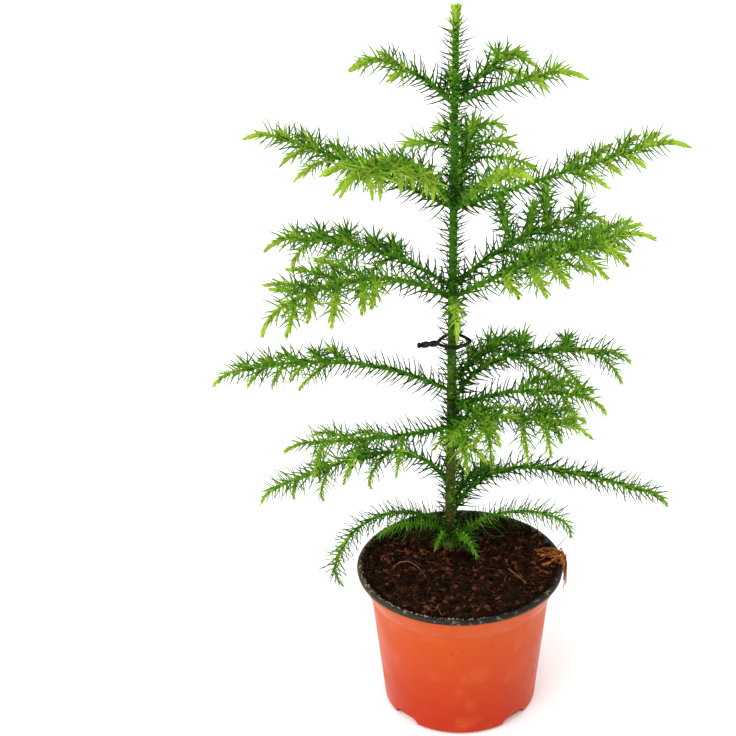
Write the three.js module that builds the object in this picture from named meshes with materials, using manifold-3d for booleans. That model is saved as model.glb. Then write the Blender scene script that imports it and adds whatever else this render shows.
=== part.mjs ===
// A potted Norfolk Island pine seedling: a terracotta pot with a dark liner rim, soil, a straight
// trunk with a wire tie, and eight loose tiers of boughs that carry sprays of needles.
// Millimetres, +Z up. The origin is the centre of the pot's flat underside, +X is the right side
// and -Y the front.
import * as THREE from 'three';
import { mergeVertices } from 'three/addons/utils/BufferGeometryUtils.js';
import Module from 'manifold-3d';

const wasm = await Module();
wasm.setup();

// Pot: a tapering wall, and a collar that flares from a small step to the edge
const POT_HEIGHT = 87;
const POT_FOOT_RADIUS = 44.9;
const POT_SHOULDER_RADIUS = 52.2;
const POT_TOP_RADIUS = 58.6;
const COLLAR_HEIGHT = 14.5;
const COLLAR_STEP = 0.6;
const SHOULDER_Z = POT_HEIGHT - COLLAR_HEIGHT;
const POT_WALL = 1.3;
const POT_FLOOR = 2.4;
const POT_HEEL_RADIUS = 35;
const POT_HEEL_HEIGHT = 10.5;
const POT_FOOT_ROUND = 1;
const POT_SIDES = 40;
const FACET_SHARE = Math.cos(Math.PI / POT_SIDES);
const NOTCH_COUNT = 4;
const NOTCH_WIDTH = 19;
const NOTCH_HEIGHT = 6.5;
const NOTCH_DEPTH = 4;
const NOTCH_REACH = 12;
const NOTCH_ARCH_STEPS = 5;

// Liner rim: a dark narrow lip that lies on the pot's edge, with a short skirt inside the collar
const CLEARANCE = 0.3;
const RIM_TOP = 89.3;
const RIM_RADIUS = 60;
const RIM_THICKNESS = RIM_TOP - POT_HEIGHT - CLEARANCE;
const RIM_EDGE_DROP = 0.8;
const RIM_EDGE_WIDTH = 1;
const RIM_ROUND = 0.8;
const RIM_SKIRT = 0.9;
const RIM_SKIRT_DEPTH = 11.6;
const RIM_UNDER_Z = RIM_TOP - RIM_THICKNESS;
const RIM_SKIRT_Z = RIM_TOP - RIM_SKIRT_DEPTH;

// Soil, which fills the pot nearly to its brim
const SOIL_EDGE_Z = 87.3;
const SOIL_CROWN_Z = 89.2;
const SOIL_SEAT_SHARE = 0.16;
const SOIL_LUMP = 1;
const SOIL_LUMP_FADE = 6;
const SOIL_FALL_POWER = 0.9;
const SOIL_SIDES = 28;
const SOIL_RINGS = 5;

// Trunk
const TRUNK_FOOT = new THREE.Vector3(-6.2, 19.6, 89.5);
const TRUNK_TIP = new THREE.Vector3(-2, 19.6, 406);
const TRUNK_FOOT_RADIUS = 3.0;
const TRUNK_TIP_RADIUS = 1.6;
const FLARE_RADIUS = 1.7;
const FLARE_HEIGHT = 9;
const TRUNK_SIDES = 6;
const TRUNK_PITCH = 7.2;

// Wire tie: a loose loop round the trunk and a thick tail, placed from the trunk's middle
const TIE_Z = 221.5;
const TIE_WIRE = 0.95;
const TIE_TAIL_WIRE = 1.6;
const TIE_SLACK = 0.5;
const TIE_LEFT = [-8.4, -2, 0];
const TIE_RIGHT = [10.5, 0, 0.5];
const TIE_TAIL = [-18.9, -3, -0.9];
const TIE_BACK_LIFT = 3;
const TIE_FRONT_SIDE = 1.6;
const TIE_FRONT_GAP = 1.5;
const TIE_FRONT_DROP = 1;
const TIE_TAIL_LAP = 0.12;
const TIE_SIDES = 5;
const TIE_STEPS = 8;

// Boughs, twigs and needles
const POT_SPACE = 1;
const RIM_SPACE = 4;
const GAP_SAMPLES = 6;
const BOUGH_RADIUS = 1.2;
const BOUGH_TIP_RADIUS = 0.5;
const SHORTEST_WITH_BOUGH = 60;
const BOUGH_NOD = 40;
const BOUGH_NOD_RUN = 16;
const TWIG_RADIUS = 0.6;
const TWIG_TIP_RADIUS = 0.4;
const TWIG_MARGIN = 0.03;
const TWIG_END = 0.84;
const TWIG_ANGLE = 60;
const TWIG_SWEEP = 14;
const LIGHT_TILT = 14;
const TWIG_NOD = 14;
const TWIG_NOD_RUN = 10;
const TWIG_LENGTH_RANGE = [0.7, 1.15];
const TWIG_ANGLE_RANGE = [0.8, 1.2];
const TWIG_PLACE_RANGE = [0.1, 0.9];
const TWIG_SWELL = [0.2, 0.92, 0.7];
const SHORTEST_TWIG = 6;
const STEM_SIDES = 3;
const STEM_PITCH = 6.3;
const AXIS_STEP = 2;
const NEEDLE_LENGTH = 11;
const NEEDLE_LENGTH_RANGE = [0.85, 1.15];
const NEEDLE_ANGLE = 64;
const NEEDLE_RADIUS = 0.8;
const TWIG_SPACE = 2;
const BUD = 3;
const LEADER_BUD = 5;

// One row for each bough: its tier, side, height on the trunk, azimuth (0 is +X, 90 the back), the
// turn of its azimuth by the tip, length, elevation at the trunk and near the tip, how early it
// levels out, the inner share that has no twigs and is its bough, the number and length of its twigs,
// how far they droop, and the seed that places them.
const BOUGHS = [
  [1, 'left', 103, 168, 22, 101, 31, -90, 1.2, 0.5, 0, 0, 0, 1],
  [1, 'right', 94, 347, 24, 84, 58, -50, 1, 0.5, 0, 0, 0, 1],
  [1, 'front', 99, 250, 0, 22, 34, 0, 1, 0.3, 0, 0, 0, 1],
  [1, 'front_left', 101, 198, -2, 42, 28, -10, 1, 0.3, 0, 0, 0, 1],
  [1, 'front_right', 99, 300, 0, 30, 22, -6, 1, 0.3, 0, 0, 0, 1],
  [2, 'right', 112, 41, -28, 172, 62, -25, 5.5, 0.4, 3, 10, 2, 36],
  [2, 'back', 115, 70, -24, 54, 28, -10, 2, 0.4, 3, 22, 0, 27],
  [3, 'left', 133, 153, 22, 134, 59, -28, 5, 0.24, 5, 24, 78, 17],
  [4, 'left', 168, 203, -13, 94, 0, 6, 1, 0.16, 5, 28, 30, 41],
  [4, 'right', 174, 334, -6, 86, 19, 4, 1.5, 0.2, 6, 32, 38, 44],
  [4, 'front', 172, 281, -4, 56, 20, -14, 1, 0.2, 2, 17, 14, 38],
  [5, 'left', 192, 170, 12, 138, 24, -14, 1.5, 0.4, 9, 22, 28, 6],
  [5, 'right', 187, 36, -22, 123, 58, -12, 4, 0.2, 5, 42, 42, 12],
  [5, 'front_right', 181, 348, 3, 90, 32, -20, 1, 0.3, 5, 34, 42, 3],
  [5, 'back', 196, 62, -10, 70, 14, -8, 1, 0.2, 5, 20, 24, 26],
  [5, 'front', 186, 302, -4, 52, 14, -14, 1, 0.2, 4, 26, 0, 59],
  [6, 'back_left', 255, 150, 14, 117, 24, -10, 1.3, 0.2, 9, 34, 60, 28],
  [6, 'front_left', 250, 208, 10, 121, 36, -26, 1, 0.32, 9, 32, 0, 53],
  [6, 'front_right', 250, 338, 3, 118, 34, 20, 1, 0.16, 11, 34, 6, 47],
  [6, 'back_right', 255, 48, -22, 114, 23, -6, 1, 0.24, 8, 54, 14, 46],
  [6, 'front', 248, 276, 0, 32, 24, -70, 1, 0.24, 0, 0, 0, 1],
  [7, 'left', 301, 160, 10, 118, 20, 14, 1, 0.34, 6, 26, 24, 55],
  [7, 'front_left', 304, 225, 8, 94, 60, -16, 1, 0.22, 11, 28, 22, 9],
  [7, 'right', 301, 358, 2, 124, 20, 18, 1, 0.4, 7, 22, 2, 33],
  [7, 'front_right', 302, 305, 3, 70, 43, 22, 1, 0.5, 1, 15, 10, 25],
  [7, 'back', 304, 82, 0, 90, 17, 12, 1, 0.3, 5, 46, 42, 2],
  [8, 'left', 359, 172, 0, 56, 46, 1, 1, 0.4, 3, 14, 0, 39],
  [8, 'right', 359, 350, -1, 66, 22, 16, 1, 0.4, 3, 12, 0, 53],
  [8, 'back_right', 361, 48, -3, 54, 26, 14, 1, 0.4, 3, 18, 24, 38],
  [8, 'back', 362, 95, 0, 32, 20, -8, 1, 0.4, 0, 0, 0, 1],
].map(([tier, side, z, azimuth, sweep, length, rise, level, bend, split, twigs, twig, droop, seed]) => ({
  name: `tier${tier}_${side}`, z, azimuth, sweep, length, rise, level, bend, split, twigs, twig, droop, seed,
}));

// Colours, roughness
const TERRACOTTA = ['#dd592f', 0.55];
const LINER = ['#3a352c', 0.6];
const PEAT = ['#29180e', 0.95];
const TRUNK_GREEN = ['#445a1e', 0.7];
const BOUGH_GREEN = ['#42681f', 0.7];
const NEEDLE_GREEN = ['#648c43', 0.6];
const TIE_GREY = ['#303227', 0.5];

const WELD = 1e-4;
const UP = new THREE.Vector3(0, 0, 1);
const RIGHT = new THREE.Vector3(1, 0, 0);
const STEEP = 0.9;
const plant = new THREE.Group();

// A repeatable number from 0 to 1 for three whole numbers.
function chance(a, b, c) {
  const x = Math.sin(a * 12.9898 + b * 78.233 + c * 37.719) * 43758.5453;
  return x - Math.floor(x);
}

function between([low, high], share) {
  return low + (high - low) * share;
}

// The unit vector for an azimuth and an elevation in degrees.
function heading(azimuth, elevation) {
  const a = THREE.MathUtils.degToRad(azimuth);
  const e = THREE.MathUtils.degToRad(elevation);
  return new THREE.Vector3(Math.cos(a) * Math.cos(e), Math.sin(a) * Math.cos(e), Math.sin(e));
}

// A closed solid from any geometry whose surface is closed.
function toSolid(geometry) {
  const bare = geometry.clone();
  bare.deleteAttribute('normal');
  bare.deleteAttribute('uv');
  const merged = mergeVertices(bare, WELD);
  const index = merged.index.array;
  const kept = [];
  for (let i = 0; i < index.length; i += 3) {
    const [a, b, c] = index.slice(i, i + 3);
    if (a !== b && b !== c && c !== a) {
      kept.push(a, b, c);
    }
  }
  return meshSolid(merged.attributes.position.array, kept);
}

function meshSolid(positions, triangles) {
  return new wasm.Manifold(new wasm.Mesh({
    numProp: 3,
    vertProperties: new Float32Array(positions),
    triVerts: new Uint32Array(triangles),
  }));
}

// Keep the largest body of a solid, so that a loose scrap or a sealed hollow is left out.
function mainBody(solid) {
  const bodies = solid.decompose();
  bodies.sort((a, b) => b.volume() - a.volume());
  return bodies[0];
}

function addPart(name, solid, [color, roughness]) {
  const mesh = mainBody(solid).getMesh();
  const geometry = new THREE.BufferGeometry();
  geometry.setAttribute('position', new THREE.BufferAttribute(new Float32Array(mesh.vertProperties), 3));
  geometry.setIndex(Array.from(mesh.triVerts));
  geometry.computeVertexNormals();
  const material = new THREE.MeshStandardMaterial({ color, roughness, metalness: 0 });
  const part = new THREE.Mesh(geometry, material);
  part.name = name;
  plant.add(part);
}

// A body of revolution about Z from a closed profile of [radius, height] pairs.
function turned(profile, sides) {
  const points = profile.map(([r, z]) => new THREE.Vector2(r, z));
  const lathe = new THREE.LatheGeometry(points, sides);
  lathe.rotateX(Math.PI / 2);
  return toSolid(lathe);
}

// Pot: wall, floor, collar and arched notches round the foot
function potRadius(z) {
  if (z <= SHOULDER_Z) {
    return between([POT_FOOT_RADIUS, POT_SHOULDER_RADIUS], z / SHOULDER_Z);
  }
  return between([POT_SHOULDER_RADIUS, POT_TOP_RADIUS], (z - SHOULDER_Z) / COLLAR_HEIGHT);
}

function makePot() {
  const collarZ = SHOULDER_Z + 2 * COLLAR_STEP;
  const solid = turned([
    [0, 0],
    [POT_FOOT_RADIUS - POT_FOOT_ROUND, 0],
    [potRadius(POT_FOOT_ROUND), POT_FOOT_ROUND],
    [POT_SHOULDER_RADIUS, SHOULDER_Z],
    [potRadius(collarZ) + COLLAR_STEP, collarZ],
    [POT_TOP_RADIUS, POT_HEIGHT],
    [POT_TOP_RADIUS - POT_WALL, POT_HEIGHT],
    [POT_SHOULDER_RADIUS - POT_WALL, SHOULDER_Z],
    [potRadius(POT_HEEL_HEIGHT) - POT_WALL, POT_HEEL_HEIGHT],
    [POT_HEEL_RADIUS, POT_FLOOR],
    [0, POT_FLOOR],
  ], POT_SIDES);
  const arch = new THREE.Shape();
  arch.moveTo(-NOTCH_WIDTH / 2, -NOTCH_HEIGHT);
  arch.lineTo(NOTCH_WIDTH / 2, -NOTCH_HEIGHT);
  arch.lineTo(NOTCH_WIDTH / 2, 0);
  arch.absellipse(0, 0, NOTCH_WIDTH / 2, NOTCH_HEIGHT, 0, Math.PI, false);
  const sweep = { depth: NOTCH_REACH, bevelEnabled: false, curveSegments: NOTCH_ARCH_STEPS };
  const block = new THREE.ExtrudeGeometry(arch, sweep);
  block.rotateX(Math.PI / 2);
  block.translate(0, -(POT_FOOT_RADIUS - NOTCH_DEPTH), 0);
  let cut = solid;
  for (let i = 0; i < NOTCH_COUNT; i += 1) {
    const notch = block.clone();
    notch.rotateZ((i + 0.5) * 2 * Math.PI / NOTCH_COUNT);
    cut = cut.subtract(toSolid(notch));
  }
  addPart('pot', cut, TERRACOTTA);
}

// The skirt's outer radius, and the radius of the room inside the rim
function skirtRadius(z) {
  return potRadius(z) - POT_WALL - CLEARANCE;
}

function roomRadius(z) {
  const low = skirtRadius(RIM_SKIRT_Z) - RIM_SKIRT;
  const high = skirtRadius(RIM_UNDER_Z) - RIM_SKIRT;
  return between([low, high], (z - RIM_SKIRT_Z) / (RIM_TOP - RIM_ROUND - RIM_SKIRT_Z));
}

function makeRim() {
  const innerZ = RIM_TOP - RIM_ROUND;
  addPart('pot_rim', turned([
    [roomRadius(RIM_SKIRT_Z), RIM_SKIRT_Z],
    [skirtRadius(RIM_SKIRT_Z), RIM_SKIRT_Z],
    [skirtRadius(RIM_UNDER_Z), RIM_UNDER_Z],
    [RIM_RADIUS - RIM_EDGE_WIDTH, RIM_UNDER_Z],
    [RIM_RADIUS - RIM_EDGE_WIDTH, RIM_UNDER_Z - RIM_EDGE_DROP],
    [RIM_RADIUS, RIM_UNDER_Z - RIM_EDGE_DROP],
    [RIM_RADIUS, RIM_TOP - RIM_ROUND],
    [RIM_RADIUS - RIM_ROUND, RIM_TOP],
    [roomRadius(innerZ) + RIM_ROUND, RIM_TOP],
    [roomRadius(innerZ), innerZ],
    [roomRadius(RIM_SKIRT_Z), RIM_SKIRT_Z],
  ], POT_SIDES), LINER);
}

// Soil: its top is a low mound round the trunk's foot with small lumps, level under the trunk
function soilTop(ring, turn) {
  const fall = ring / SOIL_RINGS;
  const lump = SOIL_LUMP * (chance(ring, turn, SOIL_RINGS) - 0.5) * Math.min(1, fall * SOIL_LUMP_FADE);
  return SOIL_CROWN_Z - (SOIL_CROWN_Z - SOIL_EDGE_Z) * fall ** SOIL_FALL_POWER + lump;
}

function makeSoil() {
  const rings = [];
  const foot = new THREE.Vector2(TRUNK_FOOT.x, TRUNK_FOOT.y);
  const edge = roomRadius(SOIL_EDGE_Z - SOIL_LUMP / 2) * FACET_SHARE - CLEARANCE;
  for (let i = 0; i <= SOIL_RINGS; i += 1) {
    const share = between([SOIL_SEAT_SHARE, 1], i / SOIL_RINGS);
    const radius = edge * share;
    rings.push((turn, angle) => {
      const x = foot.x * (1 - share) + radius * Math.cos(angle);
      const y = foot.y * (1 - share) + radius * Math.sin(angle);
      return [x, y, soilTop(i, turn)];
    });
  }
  const sides = [
    [roomRadius(RIM_SKIRT_Z) * FACET_SHARE - CLEARANCE, RIM_SKIRT_Z - CLEARANCE],
    [skirtRadius(SHOULDER_Z) - CLEARANCE, SHOULDER_Z],
    [skirtRadius(POT_HEEL_HEIGHT) - CLEARANCE, POT_HEEL_HEIGHT + 2 * CLEARANCE],
    [POT_HEEL_RADIUS - CLEARANCE, POT_FLOOR + CLEARANCE],
  ];
  for (const [radius, z] of sides) {
    rings.push((turn, angle) => [radius * Math.cos(angle), radius * Math.sin(angle), z]);
  }
  const positions = [foot.x * (1 - SOIL_SEAT_SHARE), foot.y * (1 - SOIL_SEAT_SHARE), SOIL_CROWN_Z];
  for (const ring of rings) {
    for (let turn = 0; turn < SOIL_SIDES; turn += 1) {
      positions.push(...ring(turn, turn * 2 * Math.PI / SOIL_SIDES));
    }
  }
  const last = positions.length / 3;
  positions.push(0, 0, POT_FLOOR + CLEARANCE);
  const triangles = [];
  const at = (ring, turn) => 1 + ring * SOIL_SIDES + (turn % SOIL_SIDES);
  for (let turn = 0; turn < SOIL_SIDES; turn += 1) {
    triangles.push(0, at(0, turn), at(0, turn + 1));
    for (let ring = 0; ring + 1 < rings.length; ring += 1) {
      triangles.push(at(ring, turn), at(ring + 1, turn), at(ring + 1, turn + 1));
      triangles.push(at(ring, turn), at(ring + 1, turn + 1), at(ring, turn + 1));
    }
    triangles.push(last, at(rings.length - 1, turn + 1), at(rings.length - 1, turn));
  }
  addPart('soil', meshSolid(positions, triangles), PEAT);
}

// Axes: the elevation of a growing stem eases from rise to level, and its last run nods
function growAxis(start, stem, nod, nodRun) {
  const count = Math.max(4, Math.round(stem.length / AXIS_STEP));
  const step = stem.length / count;
  const points = [start.clone()];
  for (let i = 0; i < count; i += 1) {
    const run = (i + 0.5) * step;
    const share = run / stem.length;
    const ease = stem.level + (stem.rise - stem.level) * (1 - share) ** stem.bend;
    const drop = nod * Math.max(0, (run - stem.length + nodRun) / nodRun);
    const way = heading(stem.azimuth + stem.sweep * share, ease - drop);
    points.push(points[i].clone().addScaledVector(way, step));
  }
  return { points, step, length: stem.length };
}

// The point and the direction at a distance along an axis.
function along(axis, distance) {
  const last = axis.points.length - 2;
  const i = THREE.MathUtils.clamp(Math.floor(distance / axis.step), 0, last);
  const way = axis.points[i + 1].clone().sub(axis.points[i]).divideScalar(axis.step);
  const point = axis.points[i].clone().addScaledVector(way, distance - i * axis.step);
  return { point, way };
}

function trunkPoint(z) {
  const share = (z - TRUNK_FOOT.z) / (TRUNK_TIP.z - TRUNK_FOOT.z);
  return TRUNK_FOOT.clone().lerp(TRUNK_TIP, share);
}

function trunkRadius(z) {
  const share = (z - TRUNK_FOOT.z) / (TRUNK_TIP.z - TRUNK_FOOT.z);
  const flare = Math.max(0, 1 - (z - TRUNK_FOOT.z) / FLARE_HEIGHT);
  return TRUNK_FOOT_RADIUS + (TRUNK_TIP_RADIUS - TRUNK_FOOT_RADIUS) * share + FLARE_RADIUS * flare ** 2;
}

function boughAxis(row) {
  const reach = trunkRadius(row.z) + CLEARANCE + BOUGH_RADIUS * Math.sin(THREE.MathUtils.degToRad(row.rise));
  const start = trunkPoint(row.z).addScaledVector(heading(row.azimuth, 0), reach);
  return growAxis(start, row, BOUGH_NOD, BOUGH_NOD_RUN);
}

// Twigs leave a bough by turns to its two sides, longest past its middle, and droop a little. Each
// fan of twigs tilts toward the light at the front.
function twigAxes(row, axis) {
  const { seed } = row;
  const [swellFrom, swellTo, swellPower] = TWIG_SWELL;
  const twigs = [];
  for (let i = 0; i < row.twigs; i += 1) {
    const place = (i + between(TWIG_PLACE_RANGE, chance(seed, i, 1))) / row.twigs;
    const share = between([row.split + TWIG_MARGIN, TWIG_END], place);
    const side = (i + seed) % 2 ? 1 : -1;
    const swell = Math.sin(Math.PI * between([swellFrom, swellTo], share)) ** swellPower;
    const length = row.twig * swell * between(TWIG_LENGTH_RANGE, chance(seed, i, 2));
    if (length < SHORTEST_TWIG) {
      continue;
    }
    const { point, way } = along(axis, share * row.length);
    const azimuth = THREE.MathUtils.radToDeg(Math.atan2(way.y, way.x));
    const elevation = THREE.MathUtils.radToDeg(Math.asin(way.z));
    const angle = azimuth + side * TWIG_ANGLE * between(TWIG_ANGLE_RANGE, chance(seed, i, 3));
    const tilt = LIGHT_TILT * heading(angle, 0).y;
    const stem = {
      azimuth: angle,
      sweep: -side * TWIG_SWEEP,
      length,
      rise: elevation / 2 + tilt,
      level: elevation / 3 + tilt - row.droop,
      bend: 1,
    };
    twigs.push(growAxis(point, stem, TWIG_NOD, TWIG_NOD_RUN));
  }
  return twigs;
}

// Spaces already taken: every stem and every needle, as a segment with a radius. A segment belongs
// to a limb and to one stem of it, and is either wood or a needle.
const taken = [];

function claim(segment) {
  taken.push(segment);
}

function claimAxis(limb, axis, radius) {
  const last = axis.points.length - 1;
  for (let i = 0; i < last; i += 1) {
    claim({ limb, from: axis.points[i], to: axis.points[i + 1], radius, wood: true });
  }
  const bud = axis.points[last].clone().addScaledVector(along(axis, axis.length).way, BUD);
  claim({ limb, from: axis.points[last], to: bud, radius, wood: true });
}

// The least distance between two segments, from points along the first to the second.
function segmentGap(a, b, c, d) {
  const line = new THREE.Line3(c, d);
  const near = new THREE.Vector3();
  let least = Infinity;
  for (let i = 0; i <= GAP_SAMPLES; i += 1) {
    const point = a.clone().lerp(b, i / GAP_SAMPLES);
    line.closestPointToPoint(point, true, near);
    least = Math.min(least, near.distanceTo(point));
  }
  return least;
}

// True where a point is clear of the pot, its rim and the soil.
function clearOfPot(point) {
  const radius = Math.hypot(point.x, point.y);
  const floor = radius < skirtRadius(RIM_TOP) - RIM_SPACE ? SOIL_CROWN_Z : RIM_TOP;
  return radius > RIM_RADIUS + POT_SPACE || point.z > floor + POT_SPACE;
}

// True where a segment is clear of the pot and of all other limbs and needles. The needles of its
// own stem may lie close by, and so may the wood of its own limb, unless it is the free end of a
// needle.
function isClear({ limb, stem, from, to, radius, isFreeEnd }) {
  if (!clearOfPot(from) || !clearOfPot(to)) {
    return false;
  }
  for (const other of taken) {
    const isKin = other.limb === limb;
    const isOwn = isKin && (other.wood ? !isFreeEnd : other.stem === stem);
    const isFused = isKin && stem !== 'bough' && other.stem !== 'bough';
    const reach = isFused ? radius : radius + other.radius + CLEARANCE;
    const span = from.distanceTo(to) + other.from.distanceTo(other.to) + reach;
    if (isOwn || from.distanceTo(other.from) > span) {
      continue;
    }
    if (segmentGap(from, to, other.from, other.to) < reach) {
      return false;
    }
  }
  return true;
}

// A stem from one distance to another along its axis. Its rings turn by half a side each, so that
// every other facet between two rings is a root for a needle, which leans toward the tip.
function needledStem({ limb, stem, axis, from, to, sides, pitch, radiusAt, bud }) {
  const count = Math.max(2, Math.round((to - from) / pitch));
  const positions = [];
  const triangles = [];
  const rings = [];
  const across = new THREE.Vector3();
  for (let i = 0; i <= count; i += 1) {
    const distance = from + (to - from) * (i / count);
    const { point, way } = along(axis, distance);
    if (i === 0) {
      across.crossVectors(way, Math.abs(way.z) < STEEP ? UP : RIGHT);
    }
    across.addScaledVector(way, -across.dot(way)).normalize();
    const over = new THREE.Vector3().crossVectors(way, across);
    const ring = [];
    for (let k = 0; k < sides; k += 1) {
      const angle = (2 * k + (i % 2)) * Math.PI / sides;
      const out = across.clone().multiplyScalar(Math.cos(angle)).addScaledVector(over, Math.sin(angle));
      ring.push(positions.length / 3);
      positions.push(...point.clone().addScaledVector(out, radiusAt(distance)).toArray());
    }
    rings.push({ ring, point, way, odd: i % 2 });
  }
  const vertex = (i) => new THREE.Vector3().fromArray(positions, 3 * i);
  for (let i = 0; i < count; i += 1) {
    const { ring, point, way, odd } = rings[i];
    const next = rings[i + 1].ring;
    for (let k = 0; k < sides; k += 1) {
      const a = ring[k];
      const b = ring[(k + 1) % sides];
      const c = next[(k + odd) % sides];
      const d = next[(k + 1 + odd) % sides];
      const root = vertex(a).add(vertex(b)).add(vertex(c)).divideScalar(3);
      const out = vertex(a).add(vertex(b)).divideScalar(2).sub(point).normalize();
      const length = NEEDLE_LENGTH * between(NEEDLE_LENGTH_RANGE, chance(i, k, count));
      const lean = THREE.MathUtils.degToRad(NEEDLE_ANGLE);
      const tip = root.clone().addScaledVector(out, length * Math.sin(lean));
      tip.addScaledVector(way, length * Math.cos(lean));
      const heel = vertex(a).lerp(vertex(b), 0.5);
      const edges = [heel, root, vertex(c)].map((foot) => (
        { limb, stem, from: foot, to: tip, radius: NEEDLE_RADIUS }
      ));
      const freeEnd = { ...edges[1], from: root.clone().lerp(tip, 0.5), isFreeEnd: true };
      if (edges.every(isClear) && isClear(freeEnd)) {
        edges.forEach(claim);
        const apex = positions.length / 3;
        positions.push(...tip.toArray());
        triangles.push(a, b, apex, b, c, apex, c, a, apex);
      } else {
        triangles.push(a, b, c);
      }
      triangles.push(b, d, c);
    }
  }
  const first = rings[0].ring;
  for (let k = 1; k + 1 < sides; k += 1) {
    triangles.push(first[0], first[k + 1], first[k]);
  }
  const end = rings[count];
  const crown = positions.length / 3;
  positions.push(...end.point.clone().addScaledVector(end.way, bud).toArray());
  for (let k = 0; k < sides; k += 1) {
    triangles.push(end.ring[k], end.ring[(k + 1) % sides], crown);
  }
  return meshSolid(positions, triangles);
}

function taper(base, tip, length) {
  return (distance) => base + (tip - base) * Math.min(1, distance / length);
}

// Tie: a strand behind the trunk, a strand in front of it, and a tail where they meet on the left
function tieStrand(from, middle, to) {
  const ends = from.clone().add(to);
  const bend = middle.clone().multiplyScalar(2).addScaledVector(ends, -0.5);
  return new THREE.QuadraticBezierCurve3(from, bend, to);
}

function tieTube(path, radius) {
  const points = path.getPoints(TIE_STEPS);
  for (let i = 0; i < TIE_STEPS; i += 1) {
    claim({ limb: 'tie', from: points[i], to: points[i + 1], radius, wood: true });
  }
  const section = new THREE.Shape();
  section.absellipse(0, 0, radius, radius, 0, 2 * Math.PI, false);
  const sweep = { extrudePath: path, steps: TIE_STEPS, curveSegments: TIE_SIDES, bevelEnabled: false };
  return toSolid(new THREE.ExtrudeGeometry(section, sweep));
}

function makeTie() {
  const centre = trunkPoint(TIE_Z);
  const place = (x, y, z) => centre.clone().add(new THREE.Vector3(x, y, z));
  const reach = trunkRadius(TIE_Z) + TIE_SLACK + TIE_WIRE;
  const left = place(...TIE_LEFT);
  const right = place(...TIE_RIGHT);
  const end = place(...TIE_TAIL);
  const back = tieStrand(left, place(0, reach, TIE_BACK_LIFT), right);
  const front = tieStrand(left, place(TIE_FRONT_SIDE, -reach - TIE_FRONT_GAP, -TIE_FRONT_DROP), right);
  const tail = new THREE.LineCurve3(left.clone().lerp(end, -TIE_TAIL_LAP), end);
  const loop = tieTube(back, TIE_WIRE).add(tieTube(front, TIE_WIRE));
  addPart('stem_tie', loop.add(tieTube(tail, TIE_TAIL_WIRE)), TIE_GREY);
}

// Boughs first claim their space, then twigs that stay clear of them, then needles.
function makePlant() {
  const height = TRUNK_FOOT.distanceTo(TRUNK_TIP);
  const trunkAxis = { points: [TRUNK_FOOT, TRUNK_TIP], step: height, length: height };
  claimAxis('trunk', trunkAxis, TRUNK_FOOT_RADIUS);
  const limbs = BOUGHS.map((row) => {
    const axis = boughAxis(row);
    claimAxis(row.name, axis, BOUGH_RADIUS);
    return { name: row.name, row, axis, twigs: [] };
  });
  for (const limb of limbs) {
    for (const twig of twigAxes(limb.row, limb.axis)) {
      const { points } = twig;
      const [from, middle, to] = [0, Math.floor(points.length / 2), points.length - 1].map((i) => points[i]);
      const halves = [{ from, to: middle }, { from: middle, to }];
      if (halves.every((half) => isClear({ limb: limb.name, ...half, radius: TWIG_SPACE }))) {
        claimAxis(limb.name, twig, TWIG_RADIUS);
        limb.twigs.push(twig);
      }
    }
  }
  const trunk = needledStem({
    limb: 'trunk',
    stem: 'trunk',
    axis: trunkAxis,
    from: 0,
    to: height,
    sides: TRUNK_SIDES,
    pitch: TRUNK_PITCH,
    radiusAt: (distance) => trunkRadius(TRUNK_FOOT.z + distance),
    bud: LEADER_BUD,
  });
  addPart('trunk', trunk, TRUNK_GREEN);
  for (const limb of limbs) {
    addLimb(limb);
  }
}

// One limb: a bough from the trunk, where it is long enough, and the spray that grows on from it
function addLimb({ name, row, axis, twigs }) {
  const radiusAt = taper(BOUGH_RADIUS, BOUGH_TIP_RADIUS, row.length);
  const common = { limb: name, sides: STEM_SIDES, pitch: STEM_PITCH };
  const hasBough = row.length >= SHORTEST_WITH_BOUGH;
  const split = hasBough ? row.length * row.split : 0;
  if (hasBough) {
    const bough = { ...common, stem: 'bough', axis, from: 0, to: split, radiusAt, bud: 0 };
    addPart(`bough_${name}`, needledStem(bough), BOUGH_GREEN);
  }
  const from = hasBough ? split + CLEARANCE : 0;
  const leader = { ...common, stem: 'leader', axis, from, to: row.length, radiusAt, bud: BUD };
  let spray = needledStem(leader);
  twigs.forEach((twig, stem) => {
    const thin = taper(TWIG_RADIUS, TWIG_TIP_RADIUS, twig.length);
    const shoot = { ...common, stem, axis: twig, from: 0, to: twig.length, radiusAt: thin, bud: BUD };
    spray = spray.add(needledStem(shoot));
  });
  addPart(`spray_${name}`, spray, NEEDLE_GREEN);
}

makePot();
makeRim();
makeSoil();
makeTie();
makePlant();

export default plant;
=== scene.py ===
import math

import bmesh
import bpy
import numpy as np
from mathutils import Matrix, Vector, noise


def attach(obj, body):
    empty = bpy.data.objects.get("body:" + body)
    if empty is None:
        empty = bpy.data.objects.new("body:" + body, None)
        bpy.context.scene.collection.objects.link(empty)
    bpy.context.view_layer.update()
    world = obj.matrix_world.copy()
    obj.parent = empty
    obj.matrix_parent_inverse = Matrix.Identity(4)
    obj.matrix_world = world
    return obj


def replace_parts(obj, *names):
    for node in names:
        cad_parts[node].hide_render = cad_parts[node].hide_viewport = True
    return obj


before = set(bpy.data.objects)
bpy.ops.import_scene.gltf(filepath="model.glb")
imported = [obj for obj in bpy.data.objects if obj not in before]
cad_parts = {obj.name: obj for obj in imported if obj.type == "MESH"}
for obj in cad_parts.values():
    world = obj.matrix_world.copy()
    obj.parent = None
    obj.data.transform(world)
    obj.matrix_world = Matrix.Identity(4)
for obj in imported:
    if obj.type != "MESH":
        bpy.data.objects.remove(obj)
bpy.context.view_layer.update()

MM = 0.001

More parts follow.
